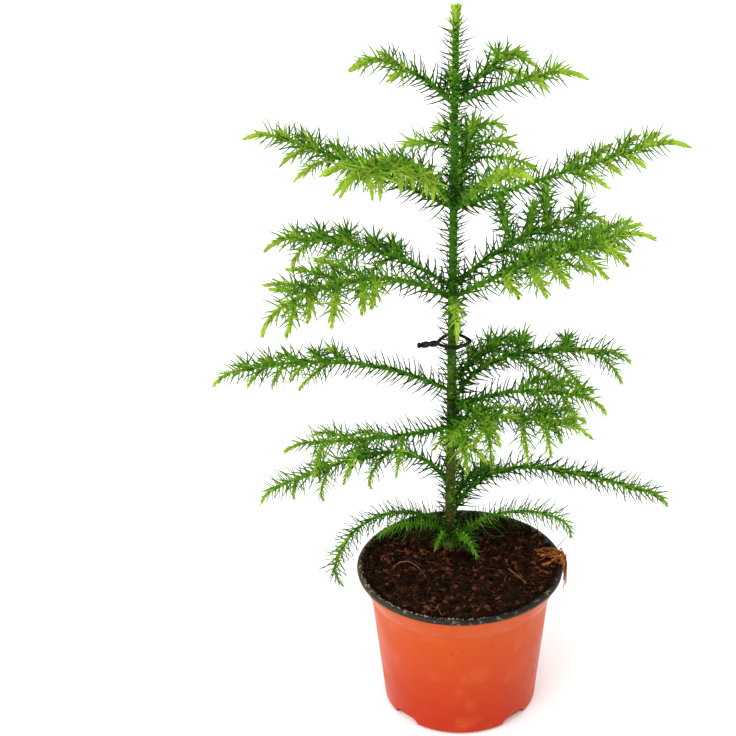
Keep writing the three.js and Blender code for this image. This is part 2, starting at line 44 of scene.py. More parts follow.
# Camera, for a square picture
PICTURE_SIDE = 736
FOCAL_PIXELS = 1543
CENTRE_PIXEL_X = 460
CAMERA_PLACE = (0, -761.1, 580.2)
CAMERA_PITCH = 25.65
SENSOR_WIDTH = 36
NEAR_CLIP = 10

# Pot: a tapering wall, a collar that flares to the edge, and arched notches round the foot
POT_HEIGHT = 87
POT_FOOT_RADIUS = 44.9
POT_SHOULDER_RADIUS = 52.2
POT_TOP_RADIUS = 58.6
COLLAR_HEIGHT = 14.5
COLLAR_STEP = 0.6
SHOULDER_Z = POT_HEIGHT - COLLAR_HEIGHT
POT_WALL = 1.3
POT_FLOOR = 2.4
POT_HEEL_RADIUS = 35
POT_HEEL_HEIGHT = 10.5
POT_FOOT_ROUND = 1.6
POT_SIDES = 144
WALL_RINGS = 12
COLLAR_RINGS = 4
NOTCH_COUNT = 4
NOTCH_WIDTH = 19
NOTCH_HEIGHT = 6.5
NOTCH_DEPTH = 4
NOTCH_REACH = 12
NOTCH_STEPS = 16
NOTCH_SPACE = 1.5
POT_BEVEL = 0.3
BEVEL_SEGMENTS = 3
SHARP_ANGLE = 35
MERGE_DISTANCE = 0.01

# Liner rim: a narrow lip on the pot's edge, with a skirt inside the collar
CLEARANCE = 0.3
RIM_TOP = 89.3
RIM_RADIUS = 60
RIM_THICKNESS = RIM_TOP - POT_HEIGHT - CLEARANCE
RIM_EDGE_DROP = 0.8
RIM_EDGE_WIDTH = 1
RIM_ROUND = 0.8
RIM_SKIRT = 0.9
RIM_SKIRT_DEPTH = 11.6
RIM_BEVEL = 0.3
RIM_WAVE = 0.25
RIM_WAVE_SIZE = 22

# Soil: filled nearly to the brim, higher at the front, with a hollow at the front right
SOIL_EDGE_Z = 88.2
SOIL_CROWN_Z = 89.6
SOIL_BASE_Z = 80
SOIL_SLOPE = 0.014
SOIL_GAP = 0.2
SOIL_RINGS = 64
SOIL_SIDES = 180
SOIL_LUMPS = ((9, 1.5), (4, 1.5), (1.7, 0.7))
SOIL_FADE = 5
SOIL_MARGIN = 1
SOIL_BASE_INSET = 2.4
HOLLOW_PLACE = (44, -24)
HOLLOW_SIZE = 11
HOLLOW_DEPTH = 4.5
CRUMB_COUNT = 2400
CRUMB_SIZE = (0.8, 5.6)
CRUMB_SIZE_POWER = 2.6
CRUMB_ROUGHNESS = 0.9
CRUMB_FLATNESS = (0.18, 0.66)
CRUMB_SINK = 0.12
CRUMB_SEEDS = 5000
BROWN_SHARE = 0.32
CHIP_COUNT = 110
CHIP_PLACE = (-25, 11)
CHIP_SPREAD = (23, 11)
CHIP_SIZE = (0.8, 4)
EDGE_COUNT = 700
EDGE_TURN = (0, 360)
EDGE_REACH = (-1.6, 1.9)
EDGE_SIZE = (0.8, 2.8)
GRIT_COUNT = 210
GRIT_TURN = (178, 285)
GRIT_REACH = (1.1, 2.5)
GRIT_SIZE = (0.4, 1.5)
FIBRE_COUNT = 240
FIBRE_LENGTH = (4, 22)
FIBRE_RADIUS = (0.12, 0.36)
FIBRE_BEND = 2.2
FIBRE_LIFT = (0.2, 2.6)
FIBRE_STEPS = 12
FIBRE_SIDES = 4
THREAD_TIP = 0.5
TAN_SHARE = 0.22
PROBE = 2
TUFT_COUNT = 20
TUFT_RADIUS = (0.3, 1.1)
TUFT_FROM_RADIUS = (45, 58)
TUFT_FROM_TURN = (0, 17)
TUFT_TO_TURN = (-12, 3)
TUFT_CROSSED = 0.55
TUFT_SPACE = (0.3, 2.2)
TUFT_LIFT = (0.2, 3)
TUFT_DROP = (1, 13)
TUFT_WAVE = 0.05
TUFT_WAVES = 9
TUFT_FALL = 1.5
STRAY_FROM = (49, 6, 89)
STRAY_TO = (62.5, 8, 102)
STRAY_SAG = 1.5
STRAY_RADIUS = 0.35
ARCH_FROM = (-39, -5)
ARCH_TO = (-19, -16)
ARCH_HEIGHT = 8
ARCH_POWER = 0.8
ARCH_RADIUS = 0.36
STICK_FROM = (28, -7)
STICK_TO = (38, -19)
STICK_LIFT = 1.4
STICK_RADIUS = 0.6

# Trunk
TRUNK_FOOT = np.array((-6.2, 19.6, 89.5))
TRUNK_TIP = np.array((-2, 19.6, 406))
TRUNK_FOOT_RADIUS = 3.0
TRUNK_TIP_RADIUS = 1.6
FLARE_RADIUS = 1.7
FLARE_HEIGHT = 9
TRUNK_SIDES = 20
TRUNK_STEP = 1.2
TRUNK_SUNK = 3
TRUNK_RELIEF = 0.13
TRUNK_RELIEF_PITCH = 6
LEADER_BUD = 3

# Wire tie: a loose loop round the trunk and a twisted tail, placed from the trunk's middle
TIE_Z = 221.5
TIE_WIRE = 0.95
TIE_SLACK = 0.5
TIE_LEFT = (-8.4, -2, 0)
TIE_RIGHT = (10.5, 0, 0.5)
TIE_TAIL = (-18.9, -3, -0.9)
TIE_BACK_LIFT = 3
TIE_FRONT_SIDE = 1.6
TIE_FRONT_GAP = 1.5
TIE_FRONT_DROP = 1
TIE_TAIL_LAP = 0.12
TWIST_WIRE = 1.15
TWIST_OFFSET = 0.75
TWIST_TURNS = 1.1
TIE_STEPS = 40
TIE_SIDES = 10
WIRE_END = 0.25

# Boughs and twigs, as in the part
BOUGH_RADIUS = 1.2
BOUGH_TIP_RADIUS = 0.5
BOUGH_NOD = 40
BOUGH_NOD_RUN = 16
TWIG_RADIUS = 0.6
TWIG_TIP_RADIUS = 0.4
TWIG_MARGIN = 0.03
TWIG_END = 0.84
TWIG_ANGLE = 60
TWIG_SWEEP = 14
LIGHT_TILT = 14
TWIG_RISE_PART = 2
TWIG_LEVEL_PART = 3
TWIG_NOD = 14
TWIG_NOD_RUN = 10
TWIG_LENGTH_RANGE = (0.7, 1.15)
TWIG_ANGLE_RANGE = (0.8, 1.2)
TWIG_PLACE_RANGE = (0.1, 0.9)
TWIG_SWELL = (0.2, 0.92, 0.7)
SHORTEST_TWIG = 6
AXIS_STEP = 2
LEAST_STEPS = 4
STEM_SIDES = 8
STEM_RELIEF = 0.06
STEM_RELIEF_PITCH = 4
RIDGE_TURNS = (3, 5)
RIDGE_LAG = 1.7
BUD = 2
STEM_RADII = {"bough": (BOUGH_RADIUS, BOUGH_TIP_RADIUS), "twig": (TWIG_RADIUS, TWIG_TIP_RADIUS)}

# Needles: each has a broad bright base that clasps the stem, and a thin darker blade, whose darkness is
# partly painted shade. A stem ends in a pointed tail of short young needles.
NEEDLE_PITCH = {"bough": 0.7, "twig": 0.62, "trunk": 0.5}
BARE_RUN = {"bough": 1.5, "twig": 1.5, "trunk": 4}
NEEDLE_LENGTH = 12.8
NEEDLE_LENGTH_RANGE = (0.68, 1.08)
NEEDLE_LEAN = 80
NEEDLE_LEAN_RANGE = (-14, 8)
NEEDLE_CURL = 27
TAIL_RUN = {"bough": 5, "twig": 3}
TAIL_MOST = 0.22
FADE_MOST = 0.45
TAIL_JITTER = 0.4

# The tail of a stem, spread as on old tiers and pressed as on young ones: its share of TAIL_RUN, the run
# before it in which the needles change, and its needles' pitch, share of length, lean, curl and share of
# width. TIER_PRESSED is how far a tier is on the way. The leader's own run is in millimetres.
TIER_PRESSED = {1: 0, 2: 0, 3: 0.2, 4: 0.2, 5: 0.2, 6: 0.6, 7: 1, 8: 1}
TIP_HABITS = {
    "run": (0.7, 1.4),
    "fade": (15, 7),
    "pitch": (0.6, 0.24),
    "length": (0.32, 0.4),
    "lean": (40, 8),
    "curl": (14, 14),
    "width": (0.5, 1.3),
}
LEADER_HABIT = {"run": 6, "fade": 5, "pitch": 0.16, "length": 0.52, "lean": 34, "curl": 8, "width": 1.35}

# Slim needles are narrower, and as much closer together
TIER_SLIM = {1: 0.62, 2: 0.9, 3: 0.9, 4: 0.9, 5: 0.95, 6: 1, 7: 1, 8: 1}
TRUNK_SLIM = 0.9
FULL_NEEDLES = 38
NEEDLE_SIZE = {"bough": 1.04, "twig": 0.92, "trunk": 0.84}
NEEDLE_WIDTH = {"bough": 1.65, "twig": 1.35, "trunk": 1.5}
GOLDEN_ANGLE = 137.508
ANGLE_JITTER = 16
SIDE_TILT = 0.5
ROOT_SHARE = 0.5
BLADE_STATIONS = np.array((0, 0.3, 0.62, 0.86, 1))
BLADE_PROFILE = np.array((0.44, 0.4, 0.31, 0.17))
BASE_STATIONS = np.array((0, 0.14, 0.3, 0.44))
BASE_PROFILE = np.array((0.7, 0.62, 0.42))
NEEDLE_FLATNESS = 0.62
NEEDLE_SIDES = 4
NEEDLE_SEEDS = {"bough": 0, "twig": 100, "trunk": 990}
TWIG_SEEDS = 20

# Needle tones, from the shaded inside of a low tier to the young tips
TONE_LIMITS = (0.24, 0.42, 0.62, 0.86)
TIER_TONE = {1: 0.66, 2: 0.64, 3: 0.66, 4: 0.7, 5: 0.67, 6: 0.68, 7: 0.69, 8: 0.64}
TIER_TAIL_TONE = {1: 0.02, 2: 0.24, 3: 0.36, 4: 0.38, 5: 0.34, 6: 0.45, 7: 0.48, 8: 0.42}
# Painted light: a tone added to stems as far as they point to the front, toward the light
TIER_FRONT_PAINTED_LIGHT = {1: -0.1, 2: 0, 3: 0.05, 4: -0.02, 5: 0, 6: 0.1, 7: 0.1, 8: 0.1}
TRUNK_TONE = (0.42, 0.66)
TRUNK_TAIL_TONE = 0.4
TONE_JITTER = 0.3
TAIL_TONE_RUN = 11
INNER_TONE = {"bough": -0.28, "twig": -0.2}
INNER_SHARE = 0.6
# Blades are darker than their stem's tone, partly as painted shade; most on the trunk, where it stands for
# the shade along its edges
BLADE_DARK_AND_PAINTED_SHADE = {"bough": -0.28, "twig": -0.2, "trunk": -0.45}
BASE_TONE = 0.1

# Base colours, linear
POT_LOW = (0.38, 0.02, 0.0004)
POT_HIGH = (0.46, 0.062, 0.006)
POT_PALE = (0.53, 0.12, 0.027)
POT_SPECK = (0.2, 0.014, 0.0008)
POT_SHEEN = (1, 0.45, 0.16)
RIM_COLOUR = (0.0085, 0.0076, 0.0043)
# Painted reflection: the olive that the rim's left side is painted with
RIM_PAINTED_REFLECTION = (0.027, 0.027, 0.0093)
RIM_DUST = (0.26, 0.2, 0.14)
PEAT_DARK = (0.0055, 0.0028, 0.0013)
PEAT_LIGHT = (0.022, 0.0085, 0.004)
CRUMB_DARK = (0.0155, 0.006, 0.003)
CRUMB_BROWN = (0.12, 0.037, 0.015)
COIR_RED = (0.1, 0.025, 0.01)
COIR_CHIP = (0.2, 0.064, 0.017)
COIR_TAN = (0.19, 0.085, 0.034)
COIR_ORANGE = (0.36, 0.13, 0.026)
ROOT_PALE = (0.17, 0.11, 0.068)
DUST_PALE = (0.42, 0.36, 0.25)
BARK_LOW = (0.072, 0.043, 0.012)
BARK_HIGH = (0.034, 0.14, 0.01)
BARK_GREEN_Z = 300
BARK_DARK = (0.0068, 0.025, 0.0026)
TWIG_GREEN = (0.085, 0.23, 0.017)
TIE_COLOUR = (0.006, 0.006, 0.005)
TIE_PALE = (0.026, 0.026, 0.02)
TONE_COLOURS = {
    "shade": (0.0059, 0.036, 0.00085),
    "deep": (0.017, 0.089, 0.0026),
    "mid": (0.06, 0.19, 0.0068),
    "fresh": (0.14, 0.31, 0.017),
    "lime": (0.26, 0.4, 0.03),
}
TONE_SPREAD = (0.8, 1.2)
FLOOR_COLOUR = (0.95, 0.95, 0.95)
FLOOR_PALE = (0.97, 0.97, 0.97)
STUDIO_WHITE = (1, 1, 1)

# A surface has what the shader is told once. Patches have the fineness of their noise, and the noise
# values from which and to which they fade in. Grain has its fineness, its strength and the depth of its
# bumps in metres.
NOISE_DETAIL = 4
NEEDLE_SURFACE = {"Specular IOR Level": 0.07, "Roughness": 0.55}
NEEDLE_PATCHES = {"Scale": 120, "From": 0.35, "To": 0.65}
ROUGH_SURFACE = {"Specular IOR Level": 0.03, "Roughness": 0.85}
ROUGH_PATCHES = {"From": 0.35, "To": 0.68}
ROUGH_GRAIN_FINER = 2
ROUGH_GRAIN_DEPTH = 0.001
RIM_PATCHES = {"Scale": 330, "From": 0.55, "To": 0.72}

# Layered finishes: the material's name and surface; the direction and the two places between which its
# ground changes, and the colours there; patches over it, with the share and the colour at their middles;
# patches between two values of roughness; and grain.
LAYERED_FINISHES = {
    "pot": {
        "name": "terracotta_plastic",
        "surface": {
            "Specular IOR Level": 0.13,
            "Sheen Weight": 0.12,
            "Sheen Tint": POT_SHEEN,
            "Sheen Roughness": 0.4,
        },
        "slope": ("Up", 0, POT_HEIGHT),
        "ground": (POT_LOW, POT_HIGH),
        "patches": (
            ({"Scale": 70, "From": 0.5, "To": 0.8}, 0.35, POT_PALE),
            ({"Scale": 380, "From": 0.6, "To": 0.76}, 0.35, POT_SPECK),
        ),
        "roughness": ({"Scale": 60, "From": 0.35, "To": 0.65}, 0.34, 0.5),
        "grain": {"Scale": 700, "Strength": 0.1, "Distance": 0.0004},
    },
    "rim": {
        "name": "liner_plastic",
        "surface": {"Specular IOR Level": 0.15},
        # The ground is a painted reflection: olive at the rim's left edge, fading to its dark colour by its
        # middle
        "slope": ("Across", -RIM_RADIUS, 0),
        "ground": (RIM_PAINTED_REFLECTION, RIM_COLOUR),
        "patches": ((RIM_PATCHES, 0.6, RIM_DUST),),
        "roughness": (RIM_PATCHES, 0.42, 0.9),
        "grain": {"Scale": 500, "Strength": 0.3, "Distance": 0.0004},
    },
    "trunk": {
        "name": "trunk_bark",
        "surface": {"Specular IOR Level": 0.1, "Roughness": 0.6},
        "slope": ("Up", TRUNK_FOOT[2], BARK_GREEN_Z),
        "ground": (BARK_LOW, BARK_HIGH),
        "patches": (
            ({"Scale": 150, "From": 0.5, "To": 0.72}, 0.7, TWIG_GREEN),
            ({"Scale": 210, "From": 0.4, "To": 0.7}, 0.75, BARK_DARK),
        ),
        "grain": {"Scale": 900, "Strength": 0.5, "Distance": 0.0005},
    },
}

# Rough finishes: the material's name, its dark and light colours, the fineness of its patches and the
# strength of its grain
ROUGH_FINISHES = {
    "peat": ("damp_peat", PEAT_DARK, PEAT_LIGHT, 240, 0.9),
    "twig": ("green_wood", BARK_HIGH, TWIG_GREEN, 200, 0.3),
    "tie": ("tie_coating", TIE_COLOUR, TIE_PALE, 400, 0.3),
    "floor": ("pale_floor", FLOOR_COLOUR, FLOOR_PALE, 2, 0),
}

# Crumbs, chips and fibres on the soil: each kind is one piece, with a rough finish under its name
LITTER_FINISHES = {
    "edge_grit": ("edge_dust", ROOT_PALE, DUST_PALE, 300, 0.4),
    "soil_crumb_dark": ("crumb_dark", PEAT_DARK, CRUMB_DARK, 300, 0.8),
    "soil_crumb_brown": ("crumb_brown", CRUMB_DARK, CRUMB_BROWN, 300, 0.8),
    "coir_chips": ("coir_chip", COIR_RED, COIR_CHIP, 260, 0.8),
    "coir_red": ("coir_red", PEAT_LIGHT, COIR_RED, 300, 0.4),
    "coir_tuft": ("coir_tuft", COIR_RED, COIR_ORANGE, 300, 0.4),
    "root_pale": ("root_pale", COIR_RED, ROOT_PALE, 300, 0.4),
    "coir_tan": ("coir_tan", COIR_RED, COIR_TAN, 300, 0.4),
}

# Light and floor
WORLD_STRENGTH = 1.36
SUN_STRENGTH = 1.5
SUN_ANGLE = 60
SUN_PLACE = (-1050, -950, 1100)
FLOOR_HALF = 8000

UP = np.array((0.0, 0.0, 1.0))
RIGHT = np.array((1.0, 0.0, 0.0))
STEEP = 0.9
QUARTER_TURN = 90

# Repeatable draws: the numbers that make one, a number for each use, counted on from the first of its
# kind for the soil's, and the power that makes more things small than large
DRAW_STEPS = (12.9898, 78.233, 37.719)
DRAW_SCALE = 43758.5453
TWIG_DRAWS = {"place": 1, "length": 2, "angle": 3}
NEEDLE_DRAWS = {"turn": 7, "length": 8, "lean": 9, "tone": 11}
BARK_DRAW = 13
SOIL_USES = {
    21: "crumb_spot crumb_size crumb_form crumb_width crumb_height crumb_turn crumb_kind chip_x chip_y",
    31: "fibre_spot fibre_turn fibre_bend fibre_length fibre_radius fibre_lift fibre_kind",
    41: "tuft_from tuft_space tuft_lift tuft_to tuft_drop tuft_radius tuft_start",
    51: "edge",
}
SOIL_DRAWS = {use: first + k for first, uses in SOIL_USES.items() for k, use in enumerate(uses.split())}
MORE_SMALL = 2

# One row for each bough: its tier, side, height on the trunk, azimuth (0 is +X, 90 the back), the
# turn of its azimuth by the tip, length, elevation at the trunk and near the tip, how early it
# levels out, the inner share that has no twigs, the number and length of its twigs, how far they
# droop, and the seed that places them.
BOUGHS = (
    (1, "left", 103, 168, 22, 101, 31, -90, 1.2, 0.5, 0, 0, 0, 1),
    (1, "right", 94, 347, 24, 84, 58, -50, 1, 0.5, 0, 0, 0, 1),
    (1, "front", 99, 250, 0, 22, 34, 0, 1, 0.3, 0, 0, 0, 1),
    (1, "front_left", 101, 198, -2, 42, 28, -10, 1, 0.3, 0, 0, 0, 1),
    (1, "front_right", 99, 300, 0, 30, 22, -6, 1, 0.3, 0, 0, 0, 1),
    (2, "right", 112, 41, -28, 172, 62, -25, 5.5, 0.4, 3, 10, 2, 36),
    (2, "back", 115, 70, -24, 54, 28, -10, 2, 0.4, 3, 22, 0, 27),
    (3, "left", 133, 153, 22, 134, 59, -28, 5, 0.24, 5, 24, 78, 17),
    (4, "left", 168, 203, -13, 94, 0, 6, 1, 0.16, 5, 28, 30, 41),
    (4, "right", 174, 334, -6, 86, 19, 4, 1.5, 0.2, 6, 32, 38, 44),
    (4, "front", 172, 281, -4, 56, 20, -14, 1, 0.2, 2, 17, 14, 38),
    (5, "left", 192, 170, 12, 138, 24, -14, 1.5, 0.4, 9, 22, 28, 6),
    (5, "right", 187, 36, -22, 123, 58, -12, 4, 0.2, 5, 42, 42, 12),
    (5, "front_right", 181, 348, 3, 90, 32, -20, 1, 0.3, 5, 34, 42, 3),
    (5, "back", 196, 62, -10, 70, 14, -8, 1, 0.2, 5, 20, 24, 26),
    (5, "front", 186, 302, -4, 52, 14, -14, 1, 0.2, 4, 26, 0, 59),
    (6, "back_left", 255, 150, 14, 117, 24, -10, 1.3, 0.2, 9, 34, 60, 28),
    (6, "front_left", 250, 208, 10, 121, 36, -26, 1, 0.32, 9, 32, 0, 53),
    (6, "front_right", 250, 338, 3, 118, 34, 20, 1, 0.16, 11, 34, 6, 47),
    (6, "back_right", 255, 48, -22, 114, 23, -6, 1, 0.24, 8, 54, 14, 46),
    (6, "front", 248, 276, 0, 32, 24, -70, 1, 0.24, 0, 0, 0, 1),
    (7, "left", 301, 160, 10, 118, 20, 14, 1, 0.34, 6, 26, 24, 55),
    (7, "front_left", 304, 225, 8, 94, 60, -16, 1, 0.22, 11, 28, 22, 9),
    (7, "right", 301, 358, 2, 124, 20, 18, 1, 0.4, 7, 22, 2, 33),
    (7, "front_right", 302, 305, 3, 70, 43, 22, 1, 0.5, 1, 15, 10, 25),
    (7, "back", 304, 82, 0, 90, 17, 12, 1, 0.3, 5, 46, 42, 2),
    (8, "left", 359, 172, 0, 56, 46, 1, 1, 0.4, 3, 14, 0, 39),
    (8, "right", 359, 350, -1, 66, 22, 16, 1, 0.4, 3, 12, 0, 53),
    (8, "back_right", 361, 48, -3, 54, 26, 14, 1, 0.4, 3, 18, 24, 38),
    (8, "back", 362, 95, 0, 32, 20, -8, 1, 0.4, 0, 0, 0, 1),
)
BOUGH_FIELDS = (
    "tier", "side", "z", "azimuth", "sweep", "length", "rise", "level", "bend",
    "split", "twigs", "twig", "droop", "seed",
)


# A repeatable number from 0 to 1 for three whole numbers, or an array of them.
def chance(a, b, c):
    x = np.sin(a * DRAW_STEPS[0] + b * DRAW_STEPS[1] + c * DRAW_STEPS[2]) * DRAW_SCALE
    return x - np.floor(x)


# A repeatable number from 0 to 1 for one of the soil's small things.
def draw(number, use, which=1):
    return chance(number, SOIL_DRAWS[use], which)


def between(limits, share):
    return limits[0] + (limits[1] - limits[0]) * share


# The unit vectors for azimuths and elevations in degrees.
def heading(azimuth, elevation):
    a = np.radians(azimuth)
    e = np.radians(elevation)
    return np.stack([np.cos(a) * np.cos(e), np.sin(a) * np.cos(e), np.sin(e)], axis=-1)


def unit(vectors):
    return vectors / np.linalg.norm(vectors, axis=-1, keepdims=True)


# Growth of the stems: the elevation eases from rise to level, and the last run nods
def grow_axis(start, stem, nod, nod_run):
    length = stem["length"]
    count = max(LEAST_STEPS, int(length / AXIS_STEP + 0.5))
    step = length / count
    run = (np.arange(count) + 0.5) * step
    share = run / length
    ease = stem["level"] + (stem["rise"] - stem["level"]) * (1 - share) ** stem["bend"]
    drop = nod * np.maximum(0, (run - length + nod_run) / nod_run)
    ways = heading(stem["azimuth"] + stem["sweep"] * share, ease - drop)
    return np.vstack([start, start + np.cumsum(ways * step, axis=0)])


# The points and directions at distances along an axis of even steps.
def along(points, distances):
    step = np.linalg.norm(points[1] - points[0])
    index = np.clip((distances / step).astype(int), 0, len(points) - 2)
    ways = unit(points[index + 1] - points[index])
    return points[index] + ways * (distances - index * step)[:, None], ways


def trunk_share(z):
    return (z - TRUNK_FOOT[2]) / (TRUNK_TIP[2] - TRUNK_FOOT[2])


def trunk_point(z):
    return TRUNK_FOOT + (TRUNK_TIP - TRUNK_FOOT) * trunk_share(z)


def trunk_radius(z):
    flare = np.maximum(0, 1 - (z - TRUNK_FOOT[2]) / FLARE_HEIGHT)
    return between((TRUNK_FOOT_RADIUS, TRUNK_TIP_RADIUS), trunk_share(z)) + FLARE_RADIUS * flare**2


def bough_axis(row):
    reach = trunk_radius(row["z"]) + CLEARANCE + BOUGH_RADIUS * math.sin(math.radians(row["rise"]))
    start = trunk_point(row["z"]) + heading(row["azimuth"], 0) * reach
    return grow_axis(start, row, BOUGH_NOD, BOUGH_NOD_RUN)


# Twigs leave a bough by turns to its two sides, longest past its middle, and droop. Each fan of
# twigs tilts toward the light at the front.
def twig_axes(row, axis):
    seed = row["seed"]
    twigs = []
    for i in range(row["twigs"]):
        place = (i + between(TWIG_PLACE_RANGE, chance(seed, i, TWIG_DRAWS["place"]))) / row["twigs"]
        share = between((row["split"] + TWIG_MARGIN, TWIG_END), place)
        side = 1 if (i + seed) % 2 else -1
        swell = math.sin(math.pi * between(TWIG_SWELL[:2], share)) ** TWIG_SWELL[2]
        length = row["twig"] * swell * between(TWIG_LENGTH_RANGE, chance(seed, i, TWIG_DRAWS["length"]))
        if length < SHORTEST_TWIG:
            continue
        point, way = along(axis, np.array([share * row["length"]]))
        elevation = math.degrees(math.asin(way[0][2]))
        turn = side * TWIG_ANGLE * between(TWIG_ANGLE_RANGE, chance(seed, i, TWIG_DRAWS["angle"]))
        azimuth = math.degrees(math.atan2(way[0][1], way[0][0])) + turn
        tilt = LIGHT_TILT * math.sin(math.radians(azimuth))
        stem = {
            "azimuth": azimuth,
            "sweep": -side * TWIG_SWEEP,
            "length": length,
            "rise": elevation / TWIG_RISE_PART + tilt,
            "level": elevation / TWIG_LEVEL_PART + tilt - row["droop"],
            "bend": 1,
        }
        twigs.append(grow_axis(point[0], stem, TWIG_NOD, TWIG_NOD_RUN))
    return twigs


# Many small shapes are gathered in a bundle and become one piece
class Bundle:
    def __init__(self):
        self.vertices = []
        self.faces = []
        self.count = 0

    # Shapes of (shape, vertex, xyz) that all have the same faces.
    def add(self, shapes, face_kinds):
        number, corners, _ = shapes.shape
        first = self.count + np.arange(number)[:, None, None] * corners
        for faces in face_kinds:
            self.faces += (faces[None] + first).reshape(-1, faces.shape[1]).tolist()
        self.vertices.append(shapes.reshape(-1, 3))
        self.count += number * corners

    def piece(self, name, material, slot):
        mesh = bpy.data.meshes.new(name)
        mesh.from_pydata((np.vstack(self.vertices) * MM).tolist(), [], self.faces)
        return finish_piece(name, mesh, material)


def new_object(name, data):
    item = bpy.data.objects.new(name, data)
    bpy.context.scene.collection.objects.link(item)
    return item


def finish_piece(name, mesh, material):
    mesh.validate()
    mesh.shade_smooth()
    mesh.set_sharp_from_angle(angle=math.radians(SHARP_ANGLE))
    mesh.materials.append(material)
    piece = new_object(name, mesh)
    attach(piece, "root")
    return piece


# Faces of a tube: a cap at its first ring, quads between rings and triangles to its apex, which is
# the last vertex.
def tube_faces(rings, sides):
    k = np.arange(sides)
    after = (k + 1) % sides
    low = np.arange(rings - 1)[:, None] * sides
    high = low + sides
    quads = np.stack([low + k, low + after, high + after, high + k], axis=-1).reshape(-1, 4)
    last = (rings - 1) * sides
    apex = np.full(sides, rings * sides)
    return k[None, ::-1], quads, np.stack([last + k, last + after, apex], axis=-1)


# A side vector square to each direction, carried along so that a tube doesn't twist.
def carried_sides(ways):
    start = UP if abs(ways[0][2]) < STEEP else RIGHT
    side = np.cross(ways[0], start)
    sides = []
    for way in ways:
        side = side - way * np.dot(side, way)
        side = side / np.linalg.norm(side)
        sides.append(side)
    return np.array(sides)


# A round tube along points, closed to a point at its end, with radii of (ring, side).
def add_tube(bundle, points, radii, bud):
    sides = radii.shape[1]
    ways = unit(np.gradient(points, axis=0))
    across = carried_sides(ways)
    over = np.cross(ways, across)
    angle = np.arange(sides) * math.tau / sides
    ring = across[:, None] * np.cos(angle)[:, None] + over[:, None] * np.sin(angle)[:, None]
    rings = points[:, None] + ring * radii[..., None]
    apex = points[-1] + ways[-1] * bud
    bundle.add(np.vstack([rings.reshape(-1, 3), apex])[None], tube_faces(len(points), sides))


# How the young needles stand at the tips of a tier's stems.
def tip_habit(tier, run):
    habit = {name: between(limits, TIER_PRESSED[tier]) for name, limits in TIP_HABITS.items()}
    return {**habit, "run": run * habit["run"]}


# Needles on one stem, dealt out to the bundles of the tones
def add_needles(stem, seed, tones):
    kind = stem["kind"]
    length = stem["length"]
    habit = stem["tip_habit"]
    tail = min(habit["run"], length * TAIL_MOST)
    fade = min(habit["fade"], length * FADE_MOST)
    old = np.arange(BARE_RUN[kind], length - tail, NEEDLE_PITCH[kind] * stem["slim"])
    distances = np.concatenate([old, np.arange(length - tail, length, habit["pitch"])])
    i = np.arange(len(distances))
    roots, ways = along(stem["points"], distances)
    across = unit(np.cross(ways, stem["side_from"]))
    over = np.cross(ways, across)
    jitter = ANGLE_JITTER * (chance(seed, i, NEEDLE_DRAWS["turn"]) - 0.5)
    turn = np.radians(i * GOLDEN_ANGLE + jitter)[:, None]
    out = across * np.cos(turn) + over * np.sin(turn)
    to_tip = length - distances
    young = np.clip(1 - (to_tip - tail) / fade, 0, 1)
    lengths = NEEDLE_LENGTH * between(NEEDLE_LENGTH_RANGE, chance(seed, i, NEEDLE_DRAWS["length"]))
    lengths = lengths * NEEDLE_SIZE[kind] * stem["reach"] * between((1, habit["length"]), young)
    lean_jitter = between(NEEDLE_LEAN_RANGE, chance(seed, i, NEEDLE_DRAWS["lean"]))
    lean_jitter = lean_jitter * between((1, TAIL_JITTER), young)
    needles = {
        "roots": roots + out * (stem["radius_at"](distances) * ROOT_SHARE)[:, None],
        "out": out,
        "ways": ways,
        "lengths": lengths,
        "leans": between((NEEDLE_LEAN, habit["lean"]), young) + lean_jitter,
        "curls": between((NEEDLE_CURL, habit["curl"]), young),
        "widths": NEEDLE_WIDTH[kind] * stem["slim"] * between((1, habit["width"]), young),
    }
    tone = stem["tone_at"](distances) + TONE_JITTER * (chance(seed, i, NEEDLE_DRAWS["tone"]) - 0.5)
    tone = tone + stem["tail_tone"] * np.exp(-np.maximum(0, to_tip - tail) / TAIL_TONE_RUN)
    # The blades' darkening is partly painted shade
    blade_tone_with_painted_shade = tone + BLADE_DARK_AND_PAINTED_SHADE[kind] * (1 - young)
    deal_out(needle_shapes(needles, BLADE_STATIONS, BLADE_PROFILE), blade_tone_with_painted_shade, tones)
    deal_out(needle_shapes(needles, BASE_STATIONS, BASE_PROFILE), tone + BASE_TONE * (1 - young), tones)


def deal_out(shapes, tone, tones):
    faces = tube_faces(shapes.shape[1] // NEEDLE_SIDES, NEEDLE_SIDES)
    kinds = np.digitize(tone, TONE_LIMITS)
    for kind, name in enumerate(TONE_COLOURS):
        if np.any(kinds == kind):
            tones[name].add(shapes[kinds == kind], faces)


# The vertices of many needles or needle bases: each curls from its lean toward the stem's tip.
def needle_shapes(needles, stations, profile):
    out = needles["out"][:, None]
    ways = needles["ways"][:, None]
    middles = (stations[1:] + stations[:-1]) / 2
    angle = np.radians(needles["leans"][:, None] - needles["curls"][:, None] * middles)[..., None]
    steps = out * np.sin(angle) + ways * np.cos(angle)
    direction = unit(steps)
    steps = steps * (needles["lengths"][:, None] * np.diff(stations))[..., None]
    roots = needles["roots"][:, None]
    path = np.concatenate([roots, roots + np.cumsum(steps, axis=1)], axis=1)
    lateral = np.broadcast_to(np.cross(ways, out), direction.shape)
    half = (profile * needles["widths"][:, None])[..., None]
    a = lateral * half
    b = np.cross(direction, lateral) * half * NEEDLE_FLATNESS
    centre = path[:, :-1]
    rings = np.stack([centre + a, centre - b, centre - a, centre + b], axis=2)
    return np.concatenate([rings.reshape(len(path), -1, 3), path[:, -1:]], axis=1)


def taper(base, tip, length):
    return lambda distance: base + (tip - base) * np.minimum(1, distance / length)


